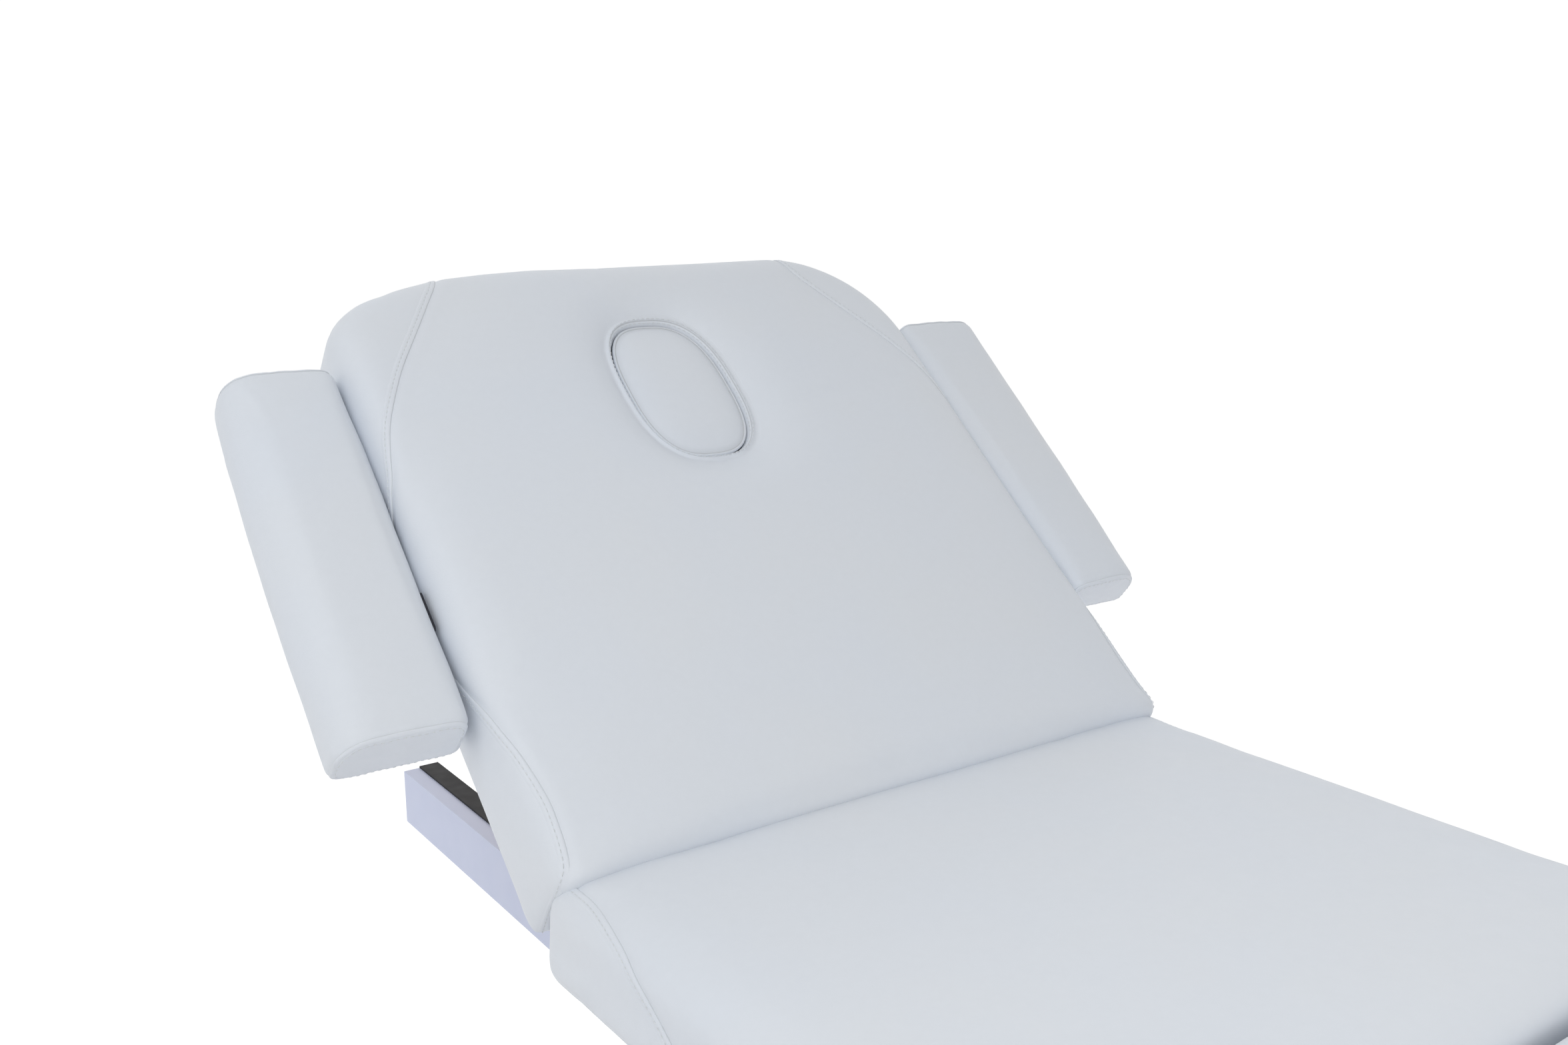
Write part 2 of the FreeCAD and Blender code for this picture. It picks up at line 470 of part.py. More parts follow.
for x0 in (-ACT_X - 18, -ACT_X + 12):
    s = plate_yz([(LT1 - 25, zt), (LT1, zt), (Q_L[0] + 14, Q_L[1] + 8), (Q_L[0] + 6, Q_L[1] - 14), (Q_L[0] - 16, Q_L[1] - 8)], x0, x0 + 6)
    for c in plg:
        s = s.fuse(cyl((x0, c[0], c[1]), X, 13, 6))
    s = s.removeSplitter().cut(slot_solid(plg, ACT_PIN_R + 1.0, x0 - 1, x0 + 7))
    levers.append(s)
parts["leg_levers"] = group(levers)
parts["leg_bolts"] = group(sum([both(cyl((TX, y, zt - 4), Z, 5, 4)) for y in (-650, -790, -930)], []))

# ---------------------------------------------------------------- write
for name, s in parts.items():
    s = s.copy()
    s.translate(V(0, -Y_MID, SEAT_HEIGHT))
    if not s.isValid():
        print("INVALID", name)
    s.exportStep("parts/" + name + ".step")
allb = Part.makeCompound(list(parts.values())).BoundBox
print(len(parts), "nodes; bbox x", round(allb.XMin, 1), round(allb.XMax, 1), "y", round(allb.YMin - Y_MID, 1), round(allb.YMax - Y_MID, 1), "z", round(allb.ZMin + SEAT_HEIGHT, 1), round(allb.ZMax + SEAT_HEIGHT, 1))
for tag, pth in (("back slot", pb), ("leg slot", plg)):
    print(tag, [(round(u - pth[0][0], 1), round(w - pth[0][1], 1)) for u, w in pth])
print("hinge back", HINGE_B, "leg", HINGE_L, "Q_B", Q_B, "Q_L", Q_L)
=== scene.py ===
import json
import math

import bmesh
import bpy
import numpy as np
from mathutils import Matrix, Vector, noise
from mathutils.bvhtree import BVHTree


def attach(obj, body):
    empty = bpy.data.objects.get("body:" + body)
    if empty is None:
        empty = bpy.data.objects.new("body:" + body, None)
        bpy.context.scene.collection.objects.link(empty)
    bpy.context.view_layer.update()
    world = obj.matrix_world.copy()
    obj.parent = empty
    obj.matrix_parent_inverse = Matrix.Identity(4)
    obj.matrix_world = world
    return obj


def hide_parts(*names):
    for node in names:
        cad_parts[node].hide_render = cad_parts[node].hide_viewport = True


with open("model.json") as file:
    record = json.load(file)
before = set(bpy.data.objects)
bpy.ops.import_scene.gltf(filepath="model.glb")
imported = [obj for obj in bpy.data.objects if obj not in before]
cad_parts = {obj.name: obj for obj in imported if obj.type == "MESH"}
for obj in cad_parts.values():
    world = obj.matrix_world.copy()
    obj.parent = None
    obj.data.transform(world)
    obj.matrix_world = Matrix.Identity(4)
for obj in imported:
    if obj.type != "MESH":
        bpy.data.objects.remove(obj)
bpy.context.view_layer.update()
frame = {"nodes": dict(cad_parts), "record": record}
REC = frame["record"]
NODES = frame["nodes"]
SCENE = bpy.context.scene

# ------------------------------------------------------------------ design axes (metres)
# D axes: origin in the crease between seat and backrest at the seat's top. Row = D + (0, OY, OZ).
OY, OZ = 0.223, 0.650
TH = math.radians(41.0)
CT, ST = math.cos(TH), math.sin(TH)


def D(x, y, z):
    return np.array([x, y + OY, z + OZ])


def flat_to_row(co):
    """Seat and leg rest: (x, y, z) in D axes to the row frame."""
    return np.asarray(co, float) + np.array([0.0, OY, OZ])


def back_to_row(co):
    """Backrest: (x, along, normal) to the row frame."""
    c = np.asarray(co, float)
    out = np.empty_like(c)
    out[..., 0] = c[..., 0]
    out[..., 1] = c[..., 1] * CT - c[..., 2] * ST + OY
    out[..., 2] = c[..., 1] * ST + c[..., 2] * CT + OZ
    return out


# ------------------------------------------------------------------ camera, floor, light
cam_data = bpy.data.cameras.new("camera")
cam = bpy.data.objects.new("camera", cam_data)
SCENE.collection.objects.link(cam)
SCENE.camera = cam
cam_data.sensor_width = 36.0
cam_data.sensor_fit = "HORIZONTAL"
cam_data.lens = 32.86
cam_data.clip_start, cam_data.clip_end = 0.02, 60.0
YAW, PITCH, ROLL = math.radians(35.48), math.radians(12.09), math.radians(-0.13)
Fv = np.array([math.sin(YAW) * math.cos(PITCH), math.cos(YAW) * math.cos(PITCH), -math.sin(PITCH)])
Rv = np.array([math.cos(YAW), -math.sin(YAW), 0.0])
Uv = np.cross(Rv, Fv)
Rr = Rv * math.cos(ROLL) + Uv * math.sin(ROLL)
Ur = -Rv * math.sin(ROLL) + Uv * math.cos(ROLL)
from mathutils import Matrix  # noqa: E402

cp = D(-0.7367, -0.8679, 0.4765)
cam.matrix_world = Matrix(((Rr[0], Ur[0], -Fv[0], cp[0]), (Rr[1], Ur[1], -Fv[1], cp[1]), (Rr[2], Ur[2], -Fv[2], cp[2]), (0, 0, 0, 1)))


def link(name, verts, faces, smooth=True):
    me = bpy.data.meshes.new(name)
    me.from_pydata([tuple(map(float, v)) for v in verts], [], [tuple(map(int, f)) for f in faces])
    me.validate()
    me.update()
    ob = bpy.data.objects.new(name, me)
    SCENE.collection.objects.link(ob)
    if smooth:
        me.polygons.foreach_set("use_smooth", [True] * len(me.polygons))
    return ob


def floor_mesh():
    s = 30.0
    ob = link("studio_floor", [(-s, -s, -0.0005), (s, -s, -0.0005), (s, s, -0.0005), (-s, s, -0.0005)], [(0, 1, 2, 3)], False)
    return ob


FLOOR = floor_mesh()

world = bpy.data.worlds.new("studio") if SCENE.world is None else SCENE.world
SCENE.world = world
world.use_nodes = True
wn = world.node_tree
wn.nodes.clear()
wo = wn.nodes.new("ShaderNodeOutputWorld")
wb = wn.nodes.new("ShaderNodeBackground")
wtc = wn.nodes.new("ShaderNodeTexCoord")
wsx = wn.nodes.new("ShaderNodeSeparateXYZ")
wn.links.new(wtc.outputs["Generated"], wsx.inputs[0])


def w_range(src, a, b, c, d):
    r = wn.nodes.new("ShaderNodeMapRange")
    r.interpolation_type = "SMOOTHSTEP"
    for k, v in (("From Min", a), ("From Max", b), ("To Min", c), ("To Max", d)):
        r.inputs[k].default_value = v
    wn.links.new(src, r.inputs["Value"])
    return r.outputs["Result"]


w_mul = wn.nodes.new("ShaderNodeMath")
w_mul.operation = "MULTIPLY"
wn.links.new(w_range(wsx.outputs["Y"], -0.35, 0.35, 0.0, 1.0), w_mul.inputs[0])     # light wall behind the bed
wn.links.new(w_range(wsx.outputs["X"], -0.50, 0.08, 0.42, 1.0), w_mul.inputs[1])    # fading out to the left
w_add = wn.nodes.new("ShaderNodeMath")
w_add.operation = "MULTIPLY_ADD"
wn.links.new(w_mul.outputs[0], w_add.inputs[0])
w_add.inputs[1].default_value = 0.60
w_add.inputs[2].default_value = 0.46
w_sub = wn.nodes.new("ShaderNodeMath")
w_sub.operation = "SUBTRACT"
wn.links.new(w_add.outputs[0], w_sub.inputs[0])
wn.links.new(w_range(wsx.outputs["Z"], 0.30, 0.95, 0.0, 0.20), w_sub.inputs[1])     # the ceiling is a little darker
wn.links.new(w_sub.outputs[0], wb.inputs["Strength"])
wb.inputs["Color"].default_value = (1.0, 1.0, 1.0, 1)
wn.links.new(wb.outputs[0], wo.inputs["Surface"])
SCENE.view_settings.view_transform = "Standard"
SCENE.view_settings.look = "None"


def area(name, loc, target, size, power, colour=(1, 1, 1)):
    d = bpy.data.lights.new(name, "AREA")
    d.shape = "RECTANGLE"
    d.size, d.size_y = size
    d.energy = power
    d.color = colour
    o = bpy.data.objects.new(name, d)
    SCENE.collection.objects.link(o)
    o.location = loc
    o.rotation_mode = "QUATERNION"
    o.rotation_quaternion = (Vector(target) - Vector(loc)).to_track_quat("-Z", "Y")
    return o


area("key_left", (-1.9, -0.4, 2.9), (0, 0.35, 0.75), (2.0, 1.6), 19.0)
bpy.data.lights["key_left"].color = (0.93, 0.965, 1.0)
area("front_high", (-0.8, -2.0, 1.9), (0, 0.15, 0.80), (1.8, 1.2), 17.0)
area("back_soft", (1.2, 3.0, 2.6), (0, 0.2, 0.7), (2.4, 1.6), 0.5)
area("right_fill", (2.8, -0.9, 1.9), (0, 0.2, 0.7), (2.0, 2.0), 0.3)


# ------------------------------------------------------------------ materials
def new_mat(name):
    m = bpy.data.materials.new(name)
    m.use_nodes = True
    nt = m.node_tree
    nt.nodes.clear()
    out = nt.nodes.new("ShaderNodeOutputMaterial")
    bs = nt.nodes.new("ShaderNodeBsdfPrincipled")
    nt.links.new(bs.outputs[0], out.inputs["Surface"])
    return m, nt, bs


def coords(nt, scale=(1, 1, 1)):
    tc = nt.nodes.new("ShaderNodeTexCoord")
    mp = nt.nodes.new("ShaderNodeMapping")
    mp.inputs["Scale"].default_value = scale
    nt.links.new(tc.outputs["Object"], mp.inputs["Vector"])
    return mp.outputs["Vector"]


def noise_tex(nt, vec, scale, detail=4.0, rough=0.55, dist=0.0):
    n = nt.nodes.new("ShaderNodeTexNoise")
    n.inputs["Scale"].default_value = scale
    n.inputs["Detail"].default_value = detail
    n.inputs["Roughness"].default_value = rough
    n.inputs["Distortion"].default_value = dist
    nt.links.new(vec, n.inputs["Vector"])
    return n.outputs["Fac"]


def ramp(nt, fac, stops):
    r = nt.nodes.new("ShaderNodeValToRGB")
    while len(r.color_ramp.elements) < len(stops):
        r.color_ramp.elements.new(0.5)
    for e, (p, c) in zip(r.color_ramp.elements, stops):
        e.position = p
        e.color = (*c, 1) if len(c) == 3 else c
    nt.links.new(fac, r.inputs["Fac"])
    return r.outputs["Color"]


def maprange(nt, fac, a, b, c, d):
    r = nt.nodes.new("ShaderNodeMapRange")
    r.inputs["From Min"].default_value = a
    r.inputs["From Max"].default_value = b
    r.inputs["To Min"].default_value = c
    r.inputs["To Max"].default_value = d
    nt.links.new(fac, r.inputs["Value"])
    return r.outputs["Result"]


def bump(nt, bs, height, strength, distance, prev=None):
    b = nt.nodes.new("ShaderNodeBump")
    b.inputs["Strength"].default_value = strength
    b.inputs["Distance"].default_value = distance
    nt.links.new(height, b.inputs["Height"])
    if prev is not None:
        nt.links.new(prev, b.inputs["Normal"])
    nt.links.new(b.outputs["Normal"], bs.inputs["Normal"])
    return b.outputs["Normal"]


def leatherette(name, base=(0.765, 0.805, 0.865), warm=(0.790, 0.810, 0.835), crease_shade=(0.26, 0.26, 0.25)):
    """Smooth white leatherette: fine pebble grain, faint cloudiness; painted shade along seam creases and folds, mixed
    in by the 'crease' attribute.
    """
    m, nt, bs = new_mat(name)
    v = coords(nt)
    cloud = noise_tex(nt, v, 5.0, 3.0)
    col = ramp(nt, cloud, [(0.30, base), (0.72, tuple(0.5 * a + 0.5 * b for a, b in zip(base, warm)))])
    fine = noise_tex(nt, v, 140.0, 3.0)
    mx = nt.nodes.new("ShaderNodeMix")
    mx.data_type = "RGBA"
    mx.blend_type = "MULTIPLY"
    mx.inputs["Factor"].default_value = 1.0
    nt.links.new(col, mx.inputs["A"])
    nt.links.new(ramp(nt, fine, [(0.2, (0.985, 0.985, 0.985)), (0.8, (1.0, 1.0, 1.0))]), mx.inputs["B"])
    # painted shade: the colour is mixed towards dark grey wherever the 'crease' attribute is set, in the grooves of
    # seams and folds
    at = nt.nodes.new("ShaderNodeAttribute")
    at.attribute_name = "crease"
    mc = nt.nodes.new("ShaderNodeMix")
    mc.data_type = "RGBA"
    nt.links.new(at.outputs["Fac"], mc.inputs["Factor"])
    nt.links.new(mx.outputs["Result"], mc.inputs["A"])
    mc.inputs["B"].default_value = (*crease_shade, 1)
    nt.links.new(mc.outputs["Result"], bs.inputs["Base Color"])
    rg = noise_tex(nt, v, 60.0, 4.0)
    nt.links.new(maprange(nt, rg, 0.3, 0.7, 0.44, 0.54), bs.inputs["Roughness"])
    bs.inputs["Specular IOR Level"].default_value = 0.42
    vo = nt.nodes.new("ShaderNodeTexVoronoi")
    vo.feature = "SMOOTH_F1"
    vo.inputs["Scale"].default_value = 1100.0
    vo.inputs["Randomness"].default_value = 1.0
    wv = noise_tex(nt, v, 420.0, 2.0)
    nt.links.new(v, vo.inputs["Vector"])
    ad = nt.nodes.new("ShaderNodeMath")
    ad.operation = "ADD"
    nt.links.new(vo.outputs["Distance"], ad.inputs[0])
    nt.links.new(wv, ad.inputs[1])
    n1 = bump(nt, bs, ad.outputs[0], 0.18, 0.00025)
    bump(nt, bs, noise_tex(nt, v, 26.0, 2.0), 0.10, 0.0012, n1)
    return m


def paint(name, col, rough=0.38, orange=900.0):
    m, nt, bs = new_mat(name)
    v = coords(nt)
    f = noise_tex(nt, v, 9.0, 3.0)
    nt.links.new(ramp(nt, f, [(0.3, tuple(c * 0.985 for c in col)), (0.7, col)]), bs.inputs["Base Color"])
    g = noise_tex(nt, v, 35.0, 5.0)
    nt.links.new(maprange(nt, g, 0.3, 0.7, rough - 0.04, rough + 0.07), bs.inputs["Roughness"])
    bump(nt, bs, noise_tex(nt, v, orange, 2.0), 0.10, 0.0003)
    return m


def rubber(name, col=(0.020, 0.020, 0.022)):
    m, nt, bs = new_mat(name)
    v = coords(nt)
    nt.links.new(ramp(nt, noise_tex(nt, v, 120.0, 5.0), [(0.3, col), (0.75, tuple(c * 1.6 for c in col))]), bs.inputs["Base Color"])
    nt.links.new(maprange(nt, noise_tex(nt, v, 60.0, 4.0), 0.3, 0.7, 0.62, 0.80), bs.inputs["Roughness"])
    bump(nt, bs, noise_tex(nt, v, 1500.0, 3.0), 0.25, 0.0003)
    return m


def metal(name, col, rough, brushed=0.0, metallic=1.0):
    m, nt, bs = new_mat(name)
    v = coords(nt, (1.0, 1.0, 1.0) if not brushed else (1.0, 0.06, 1.0))
    bs.inputs["Metallic"].default_value = metallic
    nt.links.new(ramp(nt, noise_tex(nt, v, 160.0, 4.0), [(0.3, tuple(c * 0.9 for c in col)), (0.7, col)]), bs.inputs["Base Color"])
    nt.links.new(maprange(nt, noise_tex(nt, v, 240.0, 4.0), 0.3, 0.7, rough * 0.8, rough * 1.25), bs.inputs["Roughness"])
    bump(nt, bs, noise_tex(nt, v, 600.0, 3.0), 0.06 + 0.1 * brushed, 0.0002)
    return m


def plywood(name):
    m, nt, bs = new_mat(name)
    v = coords(nt, (1.0, 0.12, 1.0))
    w = nt.nodes.new("ShaderNodeTexWave")
    w.wave_type = "BANDS"
    w.bands_direction = "X"
    w.inputs["Scale"].default_value = 9.0
    w.inputs["Distortion"].default_value = 7.0
    w.inputs["Detail"].default_value = 3.0
    nt.links.new(v, w.inputs["Vector"])
    mx = nt.nodes.new("ShaderNodeMix")
    mx.data_type = "RGBA"
    mx.blend_type = "MULTIPLY"
    mx.inputs["Factor"].default_value = 1.0
    nt.links.new(ramp(nt, w.outputs["Fac"], [(0.0, (0.55, 0.40, 0.25)), (1.0, (0.68, 0.53, 0.36))]), mx.inputs["A"])
    nt.links.new(ramp(nt, noise_tex(nt, v, 160.0, 5.0), [(0.3, (0.86, 0.84, 0.80)), (0.7, (1, 1, 1))]), mx.inputs["B"])
    nt.links.new(mx.outputs["Result"], bs.inputs["Base Color"])
    bs.inputs["Roughness"].default_value = 0.62
    bump(nt, bs, noise_tex(nt, v, 300.0, 4.0), 0.2, 0.0004)
    return m


def plastic(name, col, rough=0.35, grain=700.0, strength=0.12):
    m, nt, bs = new_mat(name)
    v = coords(nt)
    nt.links.new(ramp(nt, noise_tex(nt, v, 12.0, 3.0), [(0.3, tuple(c * 0.97 for c in col)), (0.7, col)]), bs.inputs["Base Color"])
    nt.links.new(maprange(nt, noise_tex(nt, v, 80.0, 4.0), 0.3, 0.7, rough - 0.05, rough + 0.08), bs.inputs["Roughness"])
    bump(nt, bs, noise_tex(nt, v, grain, 3.0), strength, 0.0003)
    return m


def thread_mat(name):
    m, nt, bs = new_mat(name)
    v = coords(nt)
    # the thread is white; its light grey is painted shade round the stitches, with a random tone
    nt.links.new(ramp(nt, noise_tex(nt, v, 900.0, 2.0), [(0.3, (0.66, 0.68, 0.70)), (0.7, (0.80, 0.82, 0.84))]), bs.inputs["Base Color"])
    bs.inputs["Roughness"].default_value = 0.7
    bump(nt, bs, noise_tex(nt, v, 2600.0, 2.0), 0.3, 0.0002)
    return m


M_LEATHER = leatherette("white_leatherette")
M_THREAD = thread_mat("stitch_thread")
M_PAINT = paint("white_frame_paint", (0.62, 0.67, 0.86))
M_STEEL = metal("zinc_steel", (0.60, 0.61, 0.62), 0.34, 1.0)
M_CHROME = metal("chromed_rod", (0.78, 0.79, 0.80), 0.12)
M_RUBBER = rubber("black_rubber")
M_BLACK = paint("black_steel", (0.022, 0.022, 0.032), 0.36)
M_PLY = plywood("plywood")
M_WPLASTIC = plastic("white_plastic", (0.74, 0.75, 0.77), 0.30, 500.0, 0.08)
M_CAPS = plastic("white_caps", (0.60, 0.64, 0.76), 0.45, 900.0, 0.15)
M_BPLASTIC = plastic("black_plastic", (0.035, 0.035, 0.038), 0.48, 1100.0, 0.25)
BY_SLOT = {"white_leatherette": M_LEATHER, "white_frame_paint": M_PAINT, "black_rubber": M_RUBBER, "black_steel": M_BLACK, "zinc_steel": M_STEEL,
           "chromed_rod": M_CHROME, "plywood": M_PLY, "white_plastic": M_WPLASTIC, "white_caps": M_CAPS, "black_plastic": M_BPLASTIC}
for sp in REC["subparts"]:
    ob = NODES[sp["node"]]
    m = BY_SLOT[sp["material_slot"]]
    ob.data.materials.clear()
    ob.data.materials.append(m)

mf, ntf, bsf = new_mat("studio_floor")
vf = coords(ntf)
ntf.links.new(ramp(ntf, noise_tex(ntf, vf, 3.0, 2.0), [(0.3, (0.90, 0.90, 0.905)), (0.7, (0.92, 0.92, 0.92))]), bsf.inputs["Base Color"])
bsf.inputs["Roughness"].default_value = 0.9
# painted light: the floor glows and lights the bed from below; the glow rises behind and to the right of the bed and is
# almost nothing under, in front of and left of it, a painted darker patch there
bsf.inputs["Emission Color"].default_value = (1, 1, 1, 1)
fgeo = ntf.nodes.new("ShaderNodeNewGeometry")
flen = ntf.nodes.new("ShaderNodeVectorMath")
flen.operation = "DOT_PRODUCT"
flen.inputs[1].default_value = (0.55, 1.0, 0.0)
ntf.links.new(fgeo.outputs["Position"], flen.inputs[0])
floor_glow_falloff = ntf.nodes.new("ShaderNodeMapRange")
floor_glow_falloff.interpolation_type = "SMOOTHSTEP"
for k, v in (("From Min", 0.30), ("From Max", 0.78), ("To Min", 0.02), ("To Max", 0.48)):
    floor_glow_falloff.inputs[k].default_value = v
ntf.links.new(flen.outputs["Value"], floor_glow_falloff.inputs["Value"])
ntf.links.new(floor_glow_falloff.outputs["Result"], bsf.inputs["Emission Strength"])
FLOOR.data.materials.append(mf)


# ------------------------------------------------------------------ soft-piece tools
def outline_round_rect(hx, y0, y1, r_low, r_high, step=0.008):
    """Plan outline, counter-clockwise: half width hx, from y0 to y1, corner radii at the y0 end and the y1 end."""
    pts = []

    def seg(a, b):
        n = max(1, int(round(math.dist(a, b) / step)))
        for i in range(n):
            t = i / n
            pts.append((a[0] + (b[0] - a[0]) * t, a[1] + (b[1] - a[1]) * t))

    def arc(cx, cy, r, a0, a1):
        n = max(3, int(round(abs(a1 - a0) * r / step)))
        for i in range(n):
            t = a0 + (a1 - a0) * i / n
            pts.append((cx + r * math.cos(t), cy + r * math.sin(t)))

    h = math.pi / 2
    ra, rc = r_high if isinstance(r_high, tuple) else (r_high, r_high)      # -x corner, +x corner
    seg((-hx + r_low, y0), (hx - r_low, y0))
    arc(hx - r_low, y0 + r_low, r_low, -h, 0)
    seg((hx, y0 + r_low), (hx, y1 - rc))
    arc(hx - rc, y1 - rc, rc, 0, h)
    seg((hx - rc, y1), (-hx + ra, y1))
    arc(-hx + ra, y1 - ra, ra, h, 2 * h)
    seg((-hx, y1 - ra), (-hx, y0 + r_low))
    arc(-hx + r_low, y0 + r_low, r_low, 2 * h, 3 * h)
    return pts


def block(name, outline, z0, z1, r_top, r_bot, n_arc=7):
    """Closed pad block. r_top and r_bot are the edge radii, a number or a function of the outline point."""
    P = np.array(outline, float)
    N = len(P)
    t = np.roll(P, -1, 0) - np.roll(P, 1, 0)
    t /= np.linalg.norm(t, axis=1)[:, None]
    nin = np.stack([-t[:, 1], t[:, 0]], 1)
    rt = np.array([r_top(x, y) if callable(r_top) else r_top for x, y in outline])
    rb = np.array([r_bot(x, y) if callable(r_bot) else r_bot for x, y in outline])
    rings = []
    for i in range(n_arc + 1):
        a = (math.pi / 2) * i / n_arc
        rings.append(np.c_[P + nin * (rb * (1 - math.sin(a)))[:, None], z0 + rb * (1 - math.cos(a))])
    for i in range(n_arc + 1):
        a = (math.pi / 2) * i / n_arc
        rings.append(np.c_[P + nin * (rt * (1 - math.cos(a)))[:, None], z1 - rt * (1 - math.sin(a))])
    V = np.concatenate(rings)
    F = []
    for k in range(len(rings) - 1):
        for i in range(N):
            j = (i + 1) % N
            F.append((k * N + i, k * N + j, (k + 1) * N + j, (k + 1) * N + i))
    F.append(tuple(range(N - 1, -1, -1)))
    F.append(tuple((len(rings) - 1) * N + i for i in range(N)))
    return link(name, V, F)


def apply_mod(ob, kind, **kw):
    m = ob.modifiers.new(kind, kind)
    for k, v in kw.items():
        setattr(m, k, v)
    bpy.context.view_layer.objects.active = ob
    with bpy.context.temp_override(object=ob, active_object=ob, selected_objects=[ob]):
        bpy.ops.object.modifier_apply(modifier=m.name)


def get_co(ob):
    co = np.empty(len(ob.data.vertices) * 3)
    ob.data.vertices.foreach_get("co", co)
    return co.reshape(-1, 3)


def set_co(ob, co):
    ob.data.vertices.foreach_set("co", np.asarray(co, float).ravel())
    ob.data.update()


def remesh(ob, voxel):
    apply_mod(ob, "REMESH", mode="VOXEL", voxel_size=voxel, use_smooth_shade=True)
    ob.data.polygons.foreach_set("use_smooth", [True] * len(ob.data.polygons))


def smooth(ob, factor=0.5, it=4):
    apply_mod(ob, "SMOOTH", factor=factor, iterations=it)


def puff(ob, cap, pressure=4.0, frames=20, pins=None, floor_z=None):
    """Foam and cover by cloth simulation: the cover is blown out against its own tension, seams held by pins."""
    rest = get_co(ob)
    if pins is not None:
        g = ob.vertex_groups.new(name="pins")
        for i, w in enumerate(pins):
            if w > 0.001:
                g.add([i], float(min(1.0, w)), "REPLACE")
    m = ob.modifiers.new("Cloth", "CLOTH")
    s = m.settings
    s.quality = 4
    s.mass = 0.35
    s.tension_stiffness = 22.0
    s.compression_stiffness = 22.0
    s.shear_stiffness = 8.0
    s.bending_stiffness = 1.2
    s.air_damping = 2.0
    s.use_pressure = True
    s.uniform_pressure_force = pressure
    s.effector_weights.gravity = 0.0
    if pins is not None:
        s.vertex_group_mass = "pins"
        s.pin_stiffness = 1.0
    m.collision_settings.use_collision = False
    m.point_cache.frame_start, m.point_cache.frame_end = 1, frames
    for f in range(1, frames + 1):
        SCENE.frame_set(f)
    dg = bpy.context.evaluated_depsgraph_get()
    ev = ob.evaluated_get(dg)
    co = np.empty(len(ev.data.vertices) * 3)
    ev.data.vertices.foreach_get("co", co)
    co = co.reshape(-1, 3)
    ob.modifiers.remove(m)
    SCENE.frame_set(1)
    d = co - rest
    ln = np.linalg.norm(d, axis=1)
    ln[ln < 1e-9] = 1e-9
    k = cap * np.tanh(ln / cap) / ln
    set_co(ob, rest + d * k[:, None])
    ob.vertex_groups.clear()


def normals_of(ob):
    n = np.empty(len(ob.data.vertices) * 3)
    ob.data.vertices.foreach_get("normal", n)
    return n.reshape(-1, 3)


def dist_to_path(co, path, closed=False, reach=0.03):
    """Distance of every point to a polyline."""
    p = np.asarray(path, float)
    if closed:
        p = np.vstack([p, p[:1]])
    best = np.full(len(co), 1e9)
    lo, hi = p.min(0) - reach, p.max(0) + reach
    near = np.all((co > lo) & (co < hi), axis=1)
    c = co[near]
    b = best[near]
    for a, q in zip(p[:-1], p[1:]):
        d = q - a
        l2 = float(d @ d) + 1e-18
        t = np.clip(((c - a) @ d) / l2, 0, 1)
        b = np.minimum(b, np.linalg.norm(c - (a + t[:, None] * d), axis=1))
    best[near] = b
    return best


def resample(path, step, closed=False):
    p = np.asarray(path, float)
    if closed:
        p = np.vstack([p, p[:1]])
    seg = np.linalg.norm(np.diff(p, axis=0), axis=1)
    s = np.r_[0, np.cumsum(seg)]
    n = max(2, int(round(s[-1] / step)))
    q = np.linspace(0, s[-1], n + 1)
    out = np.stack([np.interp(q, s, p[:, i]) for i in range(p.shape[1])], 1)
    return out[:-1] if closed else out


def catmull(pts, per=12, closed=False):
    p = np.asarray(pts, float)
    n = len(p)
    out = []
    rng = range(n) if closed else range(n - 1)
    for i in rng:
        p0 = p[(i - 1) % n] if closed or i > 0 else 2 * p[0] - p[1]
        p1 = p[i]
        p2 = p[(i + 1) % n]
        p3 = p[(i + 2) % n] if closed or i + 2 < n else 2 * p[-1] - p[-2]
        for k in range(per):
            t = k / per
            out.append(0.5 * ((2 * p1) + (-p0 + p2) * t + (2 * p0 - 5 * p1 + 4 * p2 - p3) * t * t + (-p0 + 3 * p1 - 3 * p2 + p3) * t ** 3))
    if not closed:
        out.append(p[-1])
    return np.array(out)


def bvh_of(ob):
    me = ob.data
    return BVHTree.FromPolygons([v.co.copy() for v in me.vertices], [tuple(p.vertices) for p in me.polygons])


def snap(bvh, pts):
    out, nor = [], []
    for p in pts:
        hit = bvh.find_nearest(Vector(p))
        out.append(np.array(hit[0]))
        nor.append(np.array(hit[1]))
    nor = np.array(nor)
    return np.array(out), nor


def smooth_rows(a, it=3, closed=False):
    a = a.copy()
    for _ in range(it):
        if closed:
            a = 0.25 * np.roll(a, 1, 0) + 0.5 * a + 0.25 * np.roll(a, -1, 0)
        else:
            b = a.copy()
            b[1:-1] = 0.25 * a[:-2] + 0.5 * a[1:-1] + 0.25 * a[2:]
            a = b
    return a


def unit_rows(a):
    return a / np.maximum(np.linalg.norm(a, axis=1), 1e-12)[:, None]


# A turned and topstitched seam: u runs away from the seam line over the stitched side, h is the height above the cover.
SEAM = [(-0.9, -0.9), (-0.35, -0.55), (0.0, -0.15), (0.25, 0.55), (0.8, 0.95), (1.7, 1.05), (2.9, 1.0), (3.9, 0.8), (4.6, 0.5), (5.3, 0.62), (6.3, 0.62), (7.6, 0.30), (9.0, -0.35)]
# painted shade: how far each row of the seam profile is darkened, most in the groove beside the seam line
SEAM_PAINTED_SHADE = [0.75, 0.75, 0.55, 0.12, 0.0, 0, 0, 0, 0.05, 0, 0, 0, 0]


